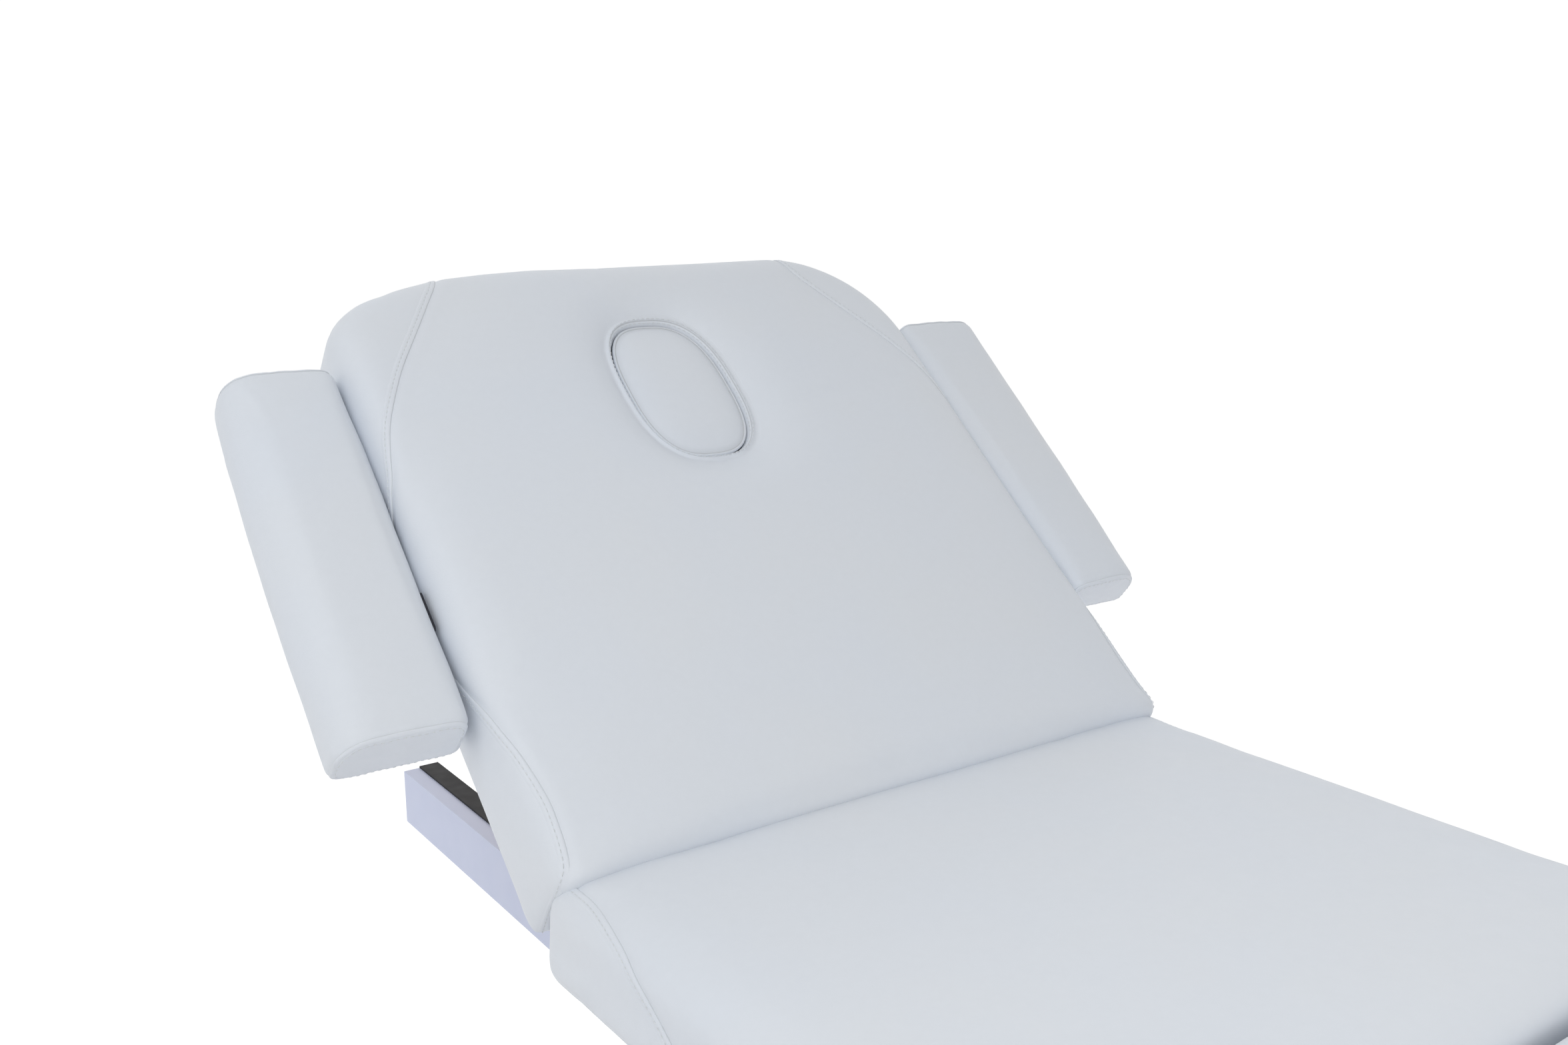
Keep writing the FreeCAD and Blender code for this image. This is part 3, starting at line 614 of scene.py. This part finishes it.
def seam(name, ob, path, side, closed=False, profile=SEAM, stitch_u=4.6, stitches=True, fade=True, scale=1.0):
    """Lays a stitched seam on ob's surface along path. side: +1 or -1, the side of the travel direction that is topstitched."""
    bvh = bvh_of(ob)
    p = resample(path, 0.0035, closed)
    p, n = snap(bvh, p)
    p = smooth_rows(p, 4, closed)
    p, n = snap(bvh, p)
    n = unit_rows(smooth_rows(n, 5, closed))
    if closed:
        t = np.roll(p, -1, 0) - np.roll(p, 1, 0)
    else:
        t = np.gradient(p, axis=0)
    t = unit_rows(t)
    b = unit_rows(np.cross(n, t)) * side
    rows, crease_shade = [], []
    M, K = len(p), len(profile)
    ends = np.ones(M)
    if not closed and fade:
        k = min(10, M // 4)
        ends[:k] = np.linspace(0.0, 1.0, k)
        ends[-k:] = np.linspace(1.0, 0.0, k)
    for (u, h), shade_level in zip(profile, SEAM_PAINTED_SHADE):
        q, qn = snap(bvh, p + b * (u * 0.001 * scale))
        hh = (h * ends - 0.5 * (1 - ends)) * 0.001 * scale
        rows.append(q + n * hh[:, None])
        crease_shade.append(np.full(M, shade_level) * ends)
    V = np.stack(rows, 1).reshape(-1, 3)
    F = []
    last = M if closed else M - 1
    for i in range(last):
        j = (i + 1) % M
        for k in range(K - 1):
            f = (i * K + k, i * K + k + 1, j * K + k + 1, j * K + k)
            F.append(f if side < 0 else f[::-1])
    s = link(name, V, F)
    # the painted shade of the seam goes into the 'crease' attribute
    at = s.data.attributes.new("crease", "FLOAT", "POINT")
    at.data.foreach_set("value", np.stack(crease_shade, 1).reshape(-1).astype(np.float32))
    s.data.materials.append(M_LEATHER)
    fix_normals(s, bvh)
    made = [s]
    if stitches:
        made.append(stitch_row(name + "_stitches", bvh, p, n, t, b, stitch_u * scale, closed, 0.5 * scale))
    return made


def fix_normals(s, bvh):
    me = s.data
    c = me.polygons[len(me.polygons) // 2]
    hit = bvh.find_nearest(c.center)
    if hit[1].dot(c.normal) < 0:
        me.flip_normals()


def stitch_row(name, bvh, p, n, t, b, u, closed, h, pitch=0.0056, length=0.0036, r=0.00034):
    q, _ = snap(bvh, p + b * (u * 0.001))
    pp = np.vstack([q, q[:1]]) if closed else q
    nn = np.vstack([n, n[:1]]) if closed else n
    seg = np.linalg.norm(np.diff(pp, axis=0), axis=1)
    s = np.r_[0, np.cumsum(seg)]
    count = int(s[-1] // pitch)
    V, F = [], []
    for i in range(count):
        s0 = (i + 0.5) * pitch - length / 2
        a = np.array([np.interp(s0, s, pp[:, k]) for k in range(3)])
        c = np.array([np.interp(s0 + length, s, pp[:, k]) for k in range(3)])
        m = np.array([np.interp(s0 + length / 2, s, nn[:, k]) for k in range(3)])
        m /= np.linalg.norm(m) + 1e-12
        d = c - a
        L = np.linalg.norm(d)
        if L < 1e-6:
            continue
        d /= L
        w = np.cross(m, d)
        base = len(V)
        for k, f in enumerate((0.0, 0.22, 0.5, 0.78, 1.0)):
            rise = (h * 0.001) + (0.00030 if 0 < k < 4 else -0.00035)
            rad = r if 0 < k < 4 else r * 0.6
            cc = a + d * (L * f) + m * rise
            for j in range(6):
                an = math.pi * 2 * j / 6
                V.append(cc + w * (rad * math.cos(an)) + m * (rad * math.sin(an)))
        for k in range(4):
            for j in range(6):
                j2 = (j + 1) % 6
                F.append((base + k * 6 + j, base + k * 6 + j2, base + (k + 1) * 6 + j2, base + (k + 1) * 6 + j))
        F.append(tuple(base + j for j in range(5, -1, -1)))
        F.append(tuple(base + 24 + j for j in range(6)))
    o = link(name, V, F)
    o.data.materials.append(M_THREAD)
    return o


def valley(ob, paths, depth, width, closed_flags):
    """Pulls the cover in along its seams."""
    co = get_co(ob)
    n = normals_of(ob)
    pull = np.zeros(len(co))
    for path, cl in zip(paths, closed_flags):
        d = dist_to_path(co, path, cl)
        pull = np.maximum(pull, np.exp(-(d / width) ** 2))
    set_co(ob, co - n * (depth * pull)[:, None])


def ripple(ob, amp, size, seed=0.0, mask=None):
    """Slow unevenness of foam under the cover."""
    co = get_co(ob)
    n = normals_of(ob)
    f = np.array([noise.noise(Vector((c[0] / size + seed, c[1] / size - seed, c[2] / size + 2 * seed))) for c in co])
    if mask is not None:
        f = f * mask(co)
    set_co(ob, co + n * (amp * f)[:, None])


def to_row(ob, fn):
    set_co(ob, fn(get_co(ob)))


def finish_piece(ob, body, node=None):
    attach(ob, body)
    if node:
        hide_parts(*([node] if isinstance(node, str) else node))
    return ob


def make_pad(name, outline, z0, z1, r_top, r_bot, voxel, cap, seams=(), crown=0.0, seed=0.0, half=0.325, shrink=0.003, hole=None, pressure=4.0,
             pin_bottom=0.010, undulate=0.0006, subdiv=1, valleys=0.0010, pin_w=0.016, crown_u=2.6, crown_v=4.0, pin_gain=0.85):
    """One upholstered pad in its own flat axes: solid, remesh, cloth, crown, seams drawn in."""
    P = np.array(outline, float)
    cen = P.mean(0)
    t = np.roll(P, -1, 0) - np.roll(P, 1, 0)
    t /= np.linalg.norm(t, axis=1)[:, None]
    nin = np.stack([-t[:, 1], t[:, 0]], 1)
    Q = P + nin * shrink
    ob = block(name, [tuple(q) for q in Q], z0, z1 - shrink, r_top, r_bot)
    if hole is not None:
        cut = hole()
        m = ob.modifiers.new("b", "BOOLEAN")
        m.operation = "DIFFERENCE"
        m.object = cut
        m.solver = "EXACT"
        bpy.context.view_layer.objects.active = ob
        with bpy.context.temp_override(object=ob, active_object=ob, selected_objects=[ob]):
            bpy.ops.object.modifier_apply(modifier=m.name)
        bpy.data.objects.remove(cut, do_unlink=True)
    remesh(ob, voxel)
    smooth(ob, 0.5, 2)
    co = get_co(ob)
    pins = np.clip((z0 + pin_bottom - co[:, 2]) / 0.004, 0, 1)
    for s in seams:
        if s.get("pin", True):
            pins = np.maximum(pins, s.get("weight", pin_gain) * np.exp(-(dist_to_path(co, s["path"], s.get("closed", False)) / pin_w) ** 2))
    if hole is not None:
        pins = np.maximum(pins, hole_pin(co))
    puff(ob, cap, pressure, 20, pins)
    smooth(ob, 0.5, 3)
    if crown:
        co = get_co(ob)
        a, b = P.min(0), P.max(0)
        u = np.clip((co[:, 0] - (a[0] + b[0]) / 2) / ((b[0] - a[0]) / 2), -1, 1)
        v = np.clip((co[:, 1] - (a[1] + b[1]) / 2) / ((b[1] - a[1]) / 2), -1, 1)
        up = np.clip((co[:, 2] - z0) / (z1 - z0), 0, 1) ** 2
        co[:, 2] += crown * (1 - np.abs(u) ** crown_u) * (1 - np.abs(v) ** crown_v) * up
        set_co(ob, co)
    if hole is not None:
        set_co(ob, dish(get_co(ob)))
    ripple(ob, undulate, 0.16, seed)
    ripple(ob, undulate * 0.35, 0.055, seed + 3.1)
    if subdiv:
        apply_mod(ob, "SUBSURF", levels=subdiv)
    bvh = bvh_of(ob)
    for s in seams:
        s["path"] = snap(bvh, s["path"])[0]
    if valleys and seams:
        valley(ob, [s["path"] for s in seams if s.get("dent", True)], valleys, 0.0045, [s.get("closed", False) for s in seams if s.get("dent", True)])
    ob.data.materials.append(M_LEATHER)
    ob.data.polygons.foreach_set("use_smooth", [True] * len(ob.data.polygons))
    extra = []
    for i, s in enumerate(seams):
        if s.get("draw", True):
            extra += seam(f"{name}_seam_{i}", ob, s["path"], s["side"], s.get("closed", False), stitch_u=s.get("u", 4.6), stitches=s.get("stitches", True), fade=s.get("fade", True), scale=s.get("scale", 1.0))
    return ob, extra


def mirror(path):
    p = np.array(path, float)
    p[:, 0] *= -1
    return p


def merge(name, obs):
    """Joins several small meshes into one object."""
    bm = bmesh.new()
    mats, base = [], []
    for o in obs:
        m = o.data.materials[0]
        if m not in mats:
            mats.append(m)
    lay = None
    vals = []
    for o in obs:
        n0 = len(bm.verts)
        f0 = len(bm.faces)
        bm.from_mesh(o.data)
        bm.faces.ensure_lookup_table()
        k = mats.index(o.data.materials[0])
        for f in bm.faces[f0:]:
            f.material_index = k
            f.smooth = True
    me = bpy.data.meshes.new(name)
    bm.to_mesh(me)
    bm.free()
    for m in mats:
        me.materials.append(m)
    ob = bpy.data.objects.new(name, me)
    SCENE.collection.objects.link(ob)
    for o in obs:
        bpy.data.objects.remove(o, do_unlink=True)
    return ob


def place(name, ob, extra, fn, body, node):
    to_row(ob, fn)
    ob.name = name
    finish_piece(ob, body, node)
    seams = [e for e in extra if not e.name.endswith("_stitches")]
    sts = [e for e in extra if e.name.endswith("_stitches")]
    made = [ob]
    if seams:
        s = merge(name + "_seams", seams)
        to_row(s, fn)
        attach(s, body)
        made.append(s)
    if sts:
        s = merge(name + "_stitching", sts)
        to_row(s, fn)
        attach(s, body)
        made.append(s)
    return made


# ------------------------------------------------------------------ seat pad
HX = 0.325
SEAT_SIDE = [(-0.302, 0.006, -0.010), (-0.304, -0.012, 0.000), (-0.306, -0.034, 0.003), (-0.310, -0.056, 0.003), (-0.3155, -0.082, 0.000), (-0.320, -0.100, -0.004), (-0.3235, -0.118, -0.012),
             (-0.325, -0.140, -0.023), (-0.325, -0.160, -0.034), (-0.325, -0.180, -0.044), (-0.324, -0.205, -0.056), (-0.320, -0.240, -0.070)]
SEAT_END = [(-0.302, 0.006, -0.010), (-0.302, 0.014, -0.030), (-0.302, 0.014, -0.055), (-0.302, 0.010, -0.074)]
seat_seams = []
for p, sd in ((catmull(SEAT_SIDE), 1), (catmull(SEAT_END), 1)):
    seat_seams.append({"path": p, "side": -sd})
    seat_seams.append({"path": mirror(p), "side": sd})


def corner_share(x):
    """0 across the middle of a pad, 1 at its side panels."""
    t = min(1.0, max(0.0, (abs(x) - 0.285) / 0.035))
    return t * t * (3 - 2 * t)


def seat_low(x, y):
    """Underside edge radius of the seat: tighter at the head end."""
    return 0.024 - 0.006 * min(1.0, max(0.0, (y + 0.04) / 0.05))


def seat_top(x, y):
    """Top edge radius of the seat: tight along the crease, full at the side panels."""
    end = 0.006 + 0.013 * corner_share(x)
    return 0.021 - (0.021 - end) * max(min(1.0, max(0.0, (y + 0.02) / 0.035)), min(1.0, max(0.0, (-0.475 - y) / 0.025)))


seat, extra = make_pad("seat", outline_round_rect(HX + 0.002, -0.504, 0.021, 0.016, 0.016), -0.077, 0.006, seat_top, seat_low, 0.006, 0.003, seat_seams, crown=0.005, seed=1.3, crown_u=9.0, crown_v=12.0, shrink=0.002, pin_w=0.010, pin_gain=0.0)
place("seat_cover", seat, extra, flat_to_row, "upper_frame", "seat_pad")

# ------------------------------------------------------------------ leg rest pad
def leg_top(x, y):
    """Top edge radius of the leg pad: tight where it meets the seat."""
    end = 0.006 + 0.013 * corner_share(x)
    return 0.026 - (0.026 - end) * min(1.0, max(0.0, (y + 0.535) / 0.025))


leg_seams = []
for p, sd in ((catmull([(-0.300, -0.504, -0.006), (-0.303, -0.530, -0.001), (-0.312, -0.560, -0.001), (-0.320, -0.585, -0.006), (-0.3245, -0.603, -0.014), (-0.325, -0.640, -0.036),
                        (-0.325, -0.690, -0.062), (-0.325, -0.735, -0.080), (-0.322, -0.790, -0.094)]), 1),):
    leg_seams.append({"path": p, "side": -sd})
    leg_seams.append({"path": mirror(p), "side": sd})
leg, extra = make_pad("leg", outline_round_rect(HX, -1.062, -0.505, 0.090, 0.016), -0.078, 0.005, leg_top, 0.024, 0.006, 0.004, leg_seams, crown=0.004, seed=7.7, crown_u=9.0, crown_v=12.0, shrink=0.002, pin_gain=0.0)
place("leg_cover", leg, extra, flat_to_row, "leg_rest", "leg_pad")

# ------------------------------------------------------------------ backrest pad with its face opening
HOLE_L, HOLE_A, HOLE_B, HOLE_M = 0.4620, 0.089, 0.059, 2.7     # centre along the pad, half length, half width, roundness
DISH = 0.0158                                      # how far the cover is drawn in round the opening
N_TOP, N_BOT = 0.025, -0.070


def oval(off, n, count=96):
    """Oval of the face opening, moved outward by off, at height n."""
    t = np.linspace(0, 2 * math.pi, 1441)[:-1]
    c, s = np.cos(t), np.sin(t)
    p = np.stack([HOLE_B * np.sign(c) * np.abs(c) ** (2 / HOLE_M), HOLE_A * np.sign(s) * np.abs(s) ** (2 / HOLE_M)], 1)
    q = np.vstack([p, p[:1]])
    d = np.r_[0, np.cumsum(np.linalg.norm(np.diff(q, axis=0), axis=1))]
    u = np.linspace(0, d[-1], count + 1)[:-1]
    p = np.stack([np.interp(u, d, q[:, 0]), np.interp(u, d, q[:, 1])], 1)
    t = np.roll(p, -1, 0) - np.roll(p, 1, 0)
    t /= np.linalg.norm(t, axis=1)[:, None]
    return np.c_[p[:, 0] + t[:, 1] * off, HOLE_L + p[:, 1] - t[:, 0] * off, np.full(count, n)]


def lathe_oval(name, prof, count=96, cap=True):
    rings = [oval(o, n, count) for o, n in prof]
    V = np.concatenate(rings)
    F = []
    for k in range(len(rings) - 1):
        for i in range(count):
            j = (i + 1) % count
            F.append((k * count + i, k * count + j, (k + 1) * count + j, (k + 1) * count + i))
    if cap:
        F.append(tuple(range(count - 1, -1, -1)))
        F.append(tuple((len(rings) - 1) * count + i for i in range(count)))
    return link(name, V, F)


def hole_cutter():
    return lathe_oval("cutter", [(0.001, -0.100), (0.001, 0.050)])


def hole_pin(co):
    d = dist_to_path(co[:, :2], oval(0.0, 0.0)[:, :2], True)
    inside = (np.abs(co[:, 0] / HOLE_B) ** HOLE_M + np.abs((co[:, 1] - HOLE_L) / HOLE_A) ** HOLE_M) < 1.3
    return np.where(inside | (d < 0.010), 1.0, np.exp(-((d - 0.010) / 0.016) ** 2))


def dish(co):
    """Draws the front cover in round the opening."""
    d = dist_to_path(co[:, :2], oval(0.0, 0.0)[:, :2], True, 0.12)
    inside = (np.abs(co[:, 0] / HOLE_B) ** HOLE_M + np.abs((co[:, 1] - HOLE_L) / HOLE_A) ** HOLE_M) < 1.0
    d = np.where(inside, 0.0, np.minimum(d, 0.2))
    front = np.clip((co[:, 2] - 0.0) / 0.012, 0, 1)
    e = np.maximum(d - 0.004, 0.0)
    out = co.copy()
    w = np.clip((co[:, 1] - 0.50) / 0.14, 0, 1)
    fall = np.interp(co[:, 0], [-0.325, -0.30, -0.26, -0.20, -0.15, -0.10], [-0.020, -0.022, -0.024, -0.009, -0.003, 0.0])
    out[:, 1] += (0.022 * (co[:, 0] - 0.15) + fall) * w * w * (3 - 2 * w)      # the top edge runs slightly out of square
    out[:, 2] -= DISH * front * np.exp(-(e / 0.021) ** 1.25)
    return out


def back_front(x, y):
    """Front edge radius of the backrest: tight along the crease."""
    end = 0.006 + 0.012 * corner_share(x)
    return 0.028 - (0.028 - end) * min(1.0, max(0.0, (0.03 - y) / 0.03))


def back_rear(x, y):
    return 0.012 - 0.006 * min(1.0, max(0.0, (0.03 - y) / 0.03))


LOW = [(-0.3180, -0.0030, 0.010), (-0.3130, 0.0060, 0.022), (-0.3095, 0.0235, 0.025), (-0.3080, 0.0397, 0.025), (-0.3075, 0.0677, 0.025), (-0.3146, 0.1042, 0.024), (-0.3235, 0.1335, 0.018),
       (-0.325, 0.158, 0.007), (-0.325, 0.182, -0.006), (-0.325, 0.212, -0.021), (-0.325, 0.250, -0.040), (-0.325, 0.290, -0.055), (-0.323, 0.330, -0.067)]
LOWEND = [(-0.3180, -0.0030, 0.010), (-0.3160, -0.0050, -0.010), (-0.3130, -0.0050, -0.037), (-0.3080, -0.0040, -0.068)]
SHOULDER = [(-0.203, 0.642, -0.050), (-0.203, 0.643, -0.010), (-0.203, 0.632, 0.018), (-0.209, 0.605, 0.025), (-0.228, 0.573, 0.025), (-0.249, 0.540, 0.025), (-0.2745, 0.500, 0.025), (-0.295, 0.4615, 0.025),
            (-0.313, 0.425, 0.024), (-0.324, 0.3925, 0.016), (-0.325, 0.377, 0.004), (-0.325, 0.360, -0.010), (-0.325, 0.345, -0.028), (-0.325, 0.333, -0.048), (-0.323, 0.326, -0.067)]
back_seams = []
for p, sd in ((catmull(LOW), 1), (catmull(LOWEND), -1), (catmull(SHOULDER), -1)):
    back_seams.append({"path": p, "side": sd})
    back_seams.append({"path": mirror(p), "side": -sd})
back, extra = make_pad("back", outline_round_rect(HX, -0.007, 0.646, 0.016, (0.086, 0.138)), N_BOT, N_TOP, back_front, back_rear, 0.006, 0.005, back_seams, crown=0.003, seed=4.2, hole=hole_cutter, shrink=0.002, pin_bottom=0.006)

# collar: a sewn ring that turns down into the opening
COLLAR = [(0.0150, 0.0170), (0.0125, 0.0176), (0.0102, 0.0168), (0.0084, 0.0155), (0.0066, 0.0141), (0.0050, 0.0135), (0.0040, 0.0132), (0.0034, 0.0128), (0.0030, 0.0120), (0.0027, 0.0112), (0.0023, 0.0111),
          (0.0017, 0.0100), (0.0011, 0.0087), (0.0006, 0.0076), (0.0002, 0.0065), (-0.0001, 0.0058), (-0.0004, 0.0056), (-0.0008, 0.0047), (-0.0010, 0.0030), (-0.0010, -0.0020), (-0.0008, -0.0150), (-0.0008, -0.0600),
          (0.0040, -0.0640), (0.0090, -0.0600)]
collar = lathe_oval("collar", COLLAR, 144, cap=False)
at = collar.data.attributes.new("crease", "FLOAT", "POINT")
# painted shade in the folds of the collar: how far each ring is darkened
shade_level = [0, 0, 0, 0, 0, 0, 0, 0.15, 0.45, 0.15, 0, 0, 0, 0, 0.1, 0.4, 0.05, 0, 0.05, 0.15, 0.2, 0.2, 0, 0]
at.data.foreach_set("value", np.repeat(np.array(shade_level, np.float32), 144))
collar.data.materials.append(M_LEATHER)
# the flange of the collar lies on the cover and dives under it at its rim
bv = bvh_of(back)
cc = get_co(collar)
for i in range(4 * 144):
    hit = bv.ray_cast(Vector((cc[i, 0], cc[i, 1], 0.2)), Vector((0, 0, -1)))
    if hit[0] is not None:
        cc[i, 2] = hit[0].z + (-0.0020, -0.0004, 0.0002, 0.0003)[i // 144]
for k, t in ((4, 0.55), (5, 0.2)):
    a = cc[k * 144:(k + 1) * 144, 2]
    cc[k * 144:(k + 1) * 144, 2] = a + t * (cc[3 * 144:4 * 144, 2] - COLLAR[3][1])
set_co(collar, cc)
fl = bvh_of(collar)
made = place("backrest_cover", back, extra, back_to_row, "backrest", "backrest_pad")
ring = oval(0.0165, 0.0262, 144)
nrm = np.tile([0, 0, 1.0], (144, 1))
st1 = stitch_row("collar_stitch_a", bvh_of(collar), *[a for a in (oval(0.0045, 0.0144, 144), nrm)], np.zeros((144, 3)), np.zeros((144, 3)), 0.0, True, 0.35)
st2 = stitch_row("collar_stitch_b", bvh_of(collar), oval(0.0014, 0.0096, 144), nrm, np.zeros((144, 3)), np.zeros((144, 3)), 0.0, True, 0.35)
sc = merge("collar_stitching", [st1, st2])
to_row(collar, back_to_row)
to_row(sc, back_to_row)
collar.name = "face_hole_collar"
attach(collar, "backrest")
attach(sc, "backrest")

# ------------------------------------------------------------------ plug of the face opening
PLUG = [(-0.012, -0.0525), (-0.0045, -0.0515), (-0.0034, -0.048), (-0.0032, -0.010), (-0.0028, 0.0020), (-0.0018, 0.0050), (-0.0013, 0.0064), (-0.0016, 0.0078), (-0.0026, 0.0087), (-0.0036, 0.0085),
        (-0.0042, 0.0077), (-0.0050, 0.0083), (-0.0085, 0.0104), (-0.0150, 0.0128), (-0.0240, 0.0148), (-0.0350, 0.0160), (-0.0480, 0.0166)]


def plug_mesh():
    count = 144
    rings = []
    for o, n in PLUG:
        r = oval(0.0, n, count)
        rr = r.copy()
        if o > -0.006:
            rr = oval(o, n, count)
        else:
            q = oval(-0.006, n, count)
            f = (HOLE_B + o) / (HOLE_B - 0.006)
            rr[:, 0] = q[:, 0] * f
            rr[:, 1] = HOLE_L + (q[:, 1] - HOLE_L) * f
        rings.append(rr)
    V = np.concatenate(rings)
    F = []
    for k in range(len(rings) - 1):
        for i in range(count):
            j = (i + 1) % count
            F.append((k * count + i, k * count + j, (k + 1) * count + j, (k + 1) * count + i))
    F.append(tuple(range(count - 1, -1, -1)))
    c = len(V)
    V = np.vstack([V, [[0.0, HOLE_L, 0.0169]]])
    for i in range(count):
        F.append(((len(rings) - 1) * count + i, (len(rings) - 1) * count + (i + 1) % count, c))
    return link("plug", V, F)


plug = plug_mesh()
plug.data.materials.append(M_LEATHER)
at = plug.data.attributes.new("crease", "FLOAT", "POINT")
# painted shade in the grooves of the plug: how far each ring is darkened
plug_shade_level = [0, 0, 0, 0.2, 0.1, 0.0, 0, 0, 0, 0.15, 0.4, 0.1, 0, 0, 0, 0, 0]
at.data.foreach_set("value", np.r_[np.repeat(np.array(plug_shade_level, np.float32), 144), [0.0]].astype(np.float32))
place("face_plug_cover", plug, [], back_to_row, "face_plug", "face_plug")

# ------------------------------------------------------------------ armrests
AL0S, AL1S, AN0, AN1 = {-1: 0.146, 1: 0.150}, {-1: 0.5215, 1: 0.535}, -0.042, 0.009
# inner and outer limit of the cover along the armrest: it presses against the backrest in the middle
INNER = ([0.149, 0.162, 0.203, 0.278, 0.392, 0.443, 0.516, 0.535], [0.3300, 0.3285, 0.3270, 0.3255, 0.3240, 0.3245, 0.3265, 0.3290])
OUTER = {-1: ([0.149, 0.230, 0.320, 0.374, 0.443, 0.500, 0.520, 0.535], [0.4370, 0.4368, 0.4358, 0.4348, 0.4325, 0.4295, 0.4265, 0.4235]),
         1: ([0.149, 0.183, 0.244, 0.318, 0.396, 0.478, 0.535], [0.4280, 0.4305, 0.4365, 0.4410, 0.4445, 0.4470, 0.4475])}


def arm_section(side, l, off):
    """D section at l, closed, starting at the middle of the underside: flat below, crowned above."""
    xi, xo = float(np.interp(l, *INNER)), float(np.interp(l, *OUTER[side]))
    hw = (xo - xi) / 2 - off
    cx = (xo + xi) / 2
    zt, zb = AN1 - off, AN0 + off
    ro, ri, rb = 0.027, 0.012, 0.007
    pts = []

    def arc(px, pz, r, a0, a1, n):
        for i in range(n + 1):
            a = a0 + (a1 - a0) * i / n
            pts.append((px + r * math.cos(a), pz + r * math.sin(a)))

    h = math.pi / 2
    arc(hw - rb, zb + rb, rb, -h, 0, 5)
    arc(hw - ro, zt - ro, ro, 0, h, 10)
    for k in range(1, 8):
        t = k / 8
        pts.append(((hw - ro) * (1 - t) + (-hw + ri) * t, zt))
    arc(-hw + ri, zt - ri, ri, h, 2 * h, 8)
    arc(-hw + rb, zb + rb, rb, 2 * h, 3 * h, 5)
    p = np.array(pts)
    up = np.clip((p[:, 1] - (AN0 + AN1) / 2) / ((AN1 - AN0) / 2), 0, 1)
    p[:, 1] += 0.0030 * np.cos(np.clip(p[:, 0] / hw, -1, 1) * math.pi / 2) * up
    roll = 0.012 * (l - 0.30) / 0.23 * up
    p[:, 1] -= roll * p[:, 0]
    p[:, 0] = side * (cx + p[:, 0])
    return p


def armrest(side, name, body, nodes):
    AL0, AL1 = AL0S[side], AL1S[side]
    s, re = 0.0010, 0.006
    st = []
    for k in range(5, -1, -1):
        a = (math.pi / 2) * k / 5
        st.append((AL0 + s + re * (1 - math.sin(a)), s + re * (1 - math.cos(a))))
    st += [(l, s) for l in np.linspace(AL0 + s + re, AL1 - s - re, 44)[1:-1]]
    for k in range(6):
        a = (math.pi / 2) * k / 5
        st.append((AL1 - s - re * (1 - math.sin(a)), s + re * (1 - math.cos(a))))
    st = sorted(st)
    V = [np.insert(arm_section(side, l, o), 1, l, axis=1) for l, o in st]
    K, R = len(V[0]), len(V)
    V = np.concatenate(V)
    F = []
    for k in range(R - 1):
        for i in range(K):
            j = (i + 1) % K
            F.append((k * K + i, k * K + j, (k + 1) * K + j, (k + 1) * K + i))
    F.append(tuple(range(K - 1, -1, -1)))
    F.append(tuple((R - 1) * K + i for i in range(K)))
    ob = link(name, V, F)
    bmx = bmesh.new()
    bmx.from_mesh(ob.data)
    bmesh.ops.recalc_face_normals(bmx, faces=bmx.faces)
    bmx.to_mesh(ob.data)
    bmx.free()
    remesh(ob, 0.0035)
    smooth(ob, 0.5, 1)
    co = get_co(ob)
    cx = side * 0.380
    seams = []
    for l, sd in ((AL0 + 0.0035, 1), (AL1 - 0.0035, -1)):
        path = np.insert(arm_section(side, l, 0.0), 1, l, axis=1)
        seams.append({"path": resample(path, 0.003, True), "closed": True, "side": sd * side})
    pins = np.zeros(len(co))
    for sm in seams:
        pins = np.maximum(pins, 0.9 * np.exp(-(dist_to_path(co, sm["path"], True) / 0.008) ** 2))
    pins = np.maximum(pins, np.clip((AN0 + 0.006 - co[:, 2]) / 0.003, 0, 1))
    puff(ob, 0.002, 4.0, 20, pins)
    ripple(ob, 0.0006, 0.05, 9.0 + side)
    # the covers gather slightly at their end caps
    co = get_co(ob)
    nn = normals_of(ob)
    ang = np.arctan2(co[:, 2] - (AN0 + AN1) / 2, co[:, 0] - cx)
    wr = np.zeros(len(co))
    for e in (AL0, AL1):
        d = np.abs(co[:, 1] - e)
        wr += np.exp(-(d / 0.012) ** 2) * (np.sin(ang * 9 + e * 40) * 0.4 + np.sin(ang * 17 + 1.3) * 0.25)
    set_co(ob, co + nn * (wr * 0.0006)[:, None])
    apply_mod(ob, "SUBSURF", levels=1)
    bvh = bvh_of(ob)
    for sm in seams:
        sm["path"] = snap(bvh, sm["path"])[0]
    valley(ob, [sm["path"] for sm in seams], 0.0008, 0.0030, [True, True])
    ob.data.materials.append(M_LEATHER)
    extra = []
    for i, sm in enumerate(seams):
        extra += seam(f"{name}_seam_{i}", ob, sm["path"], sm["side"], True, stitch_u=6.5)
    return place(name, ob, extra, back_to_row, body, nodes)


armrest(1, "armrest_cover_left", "armrest_left", "armrest_pad_left")
armrest(-1, "armrest_cover_right", "armrest_right", "armrest_pad_right")
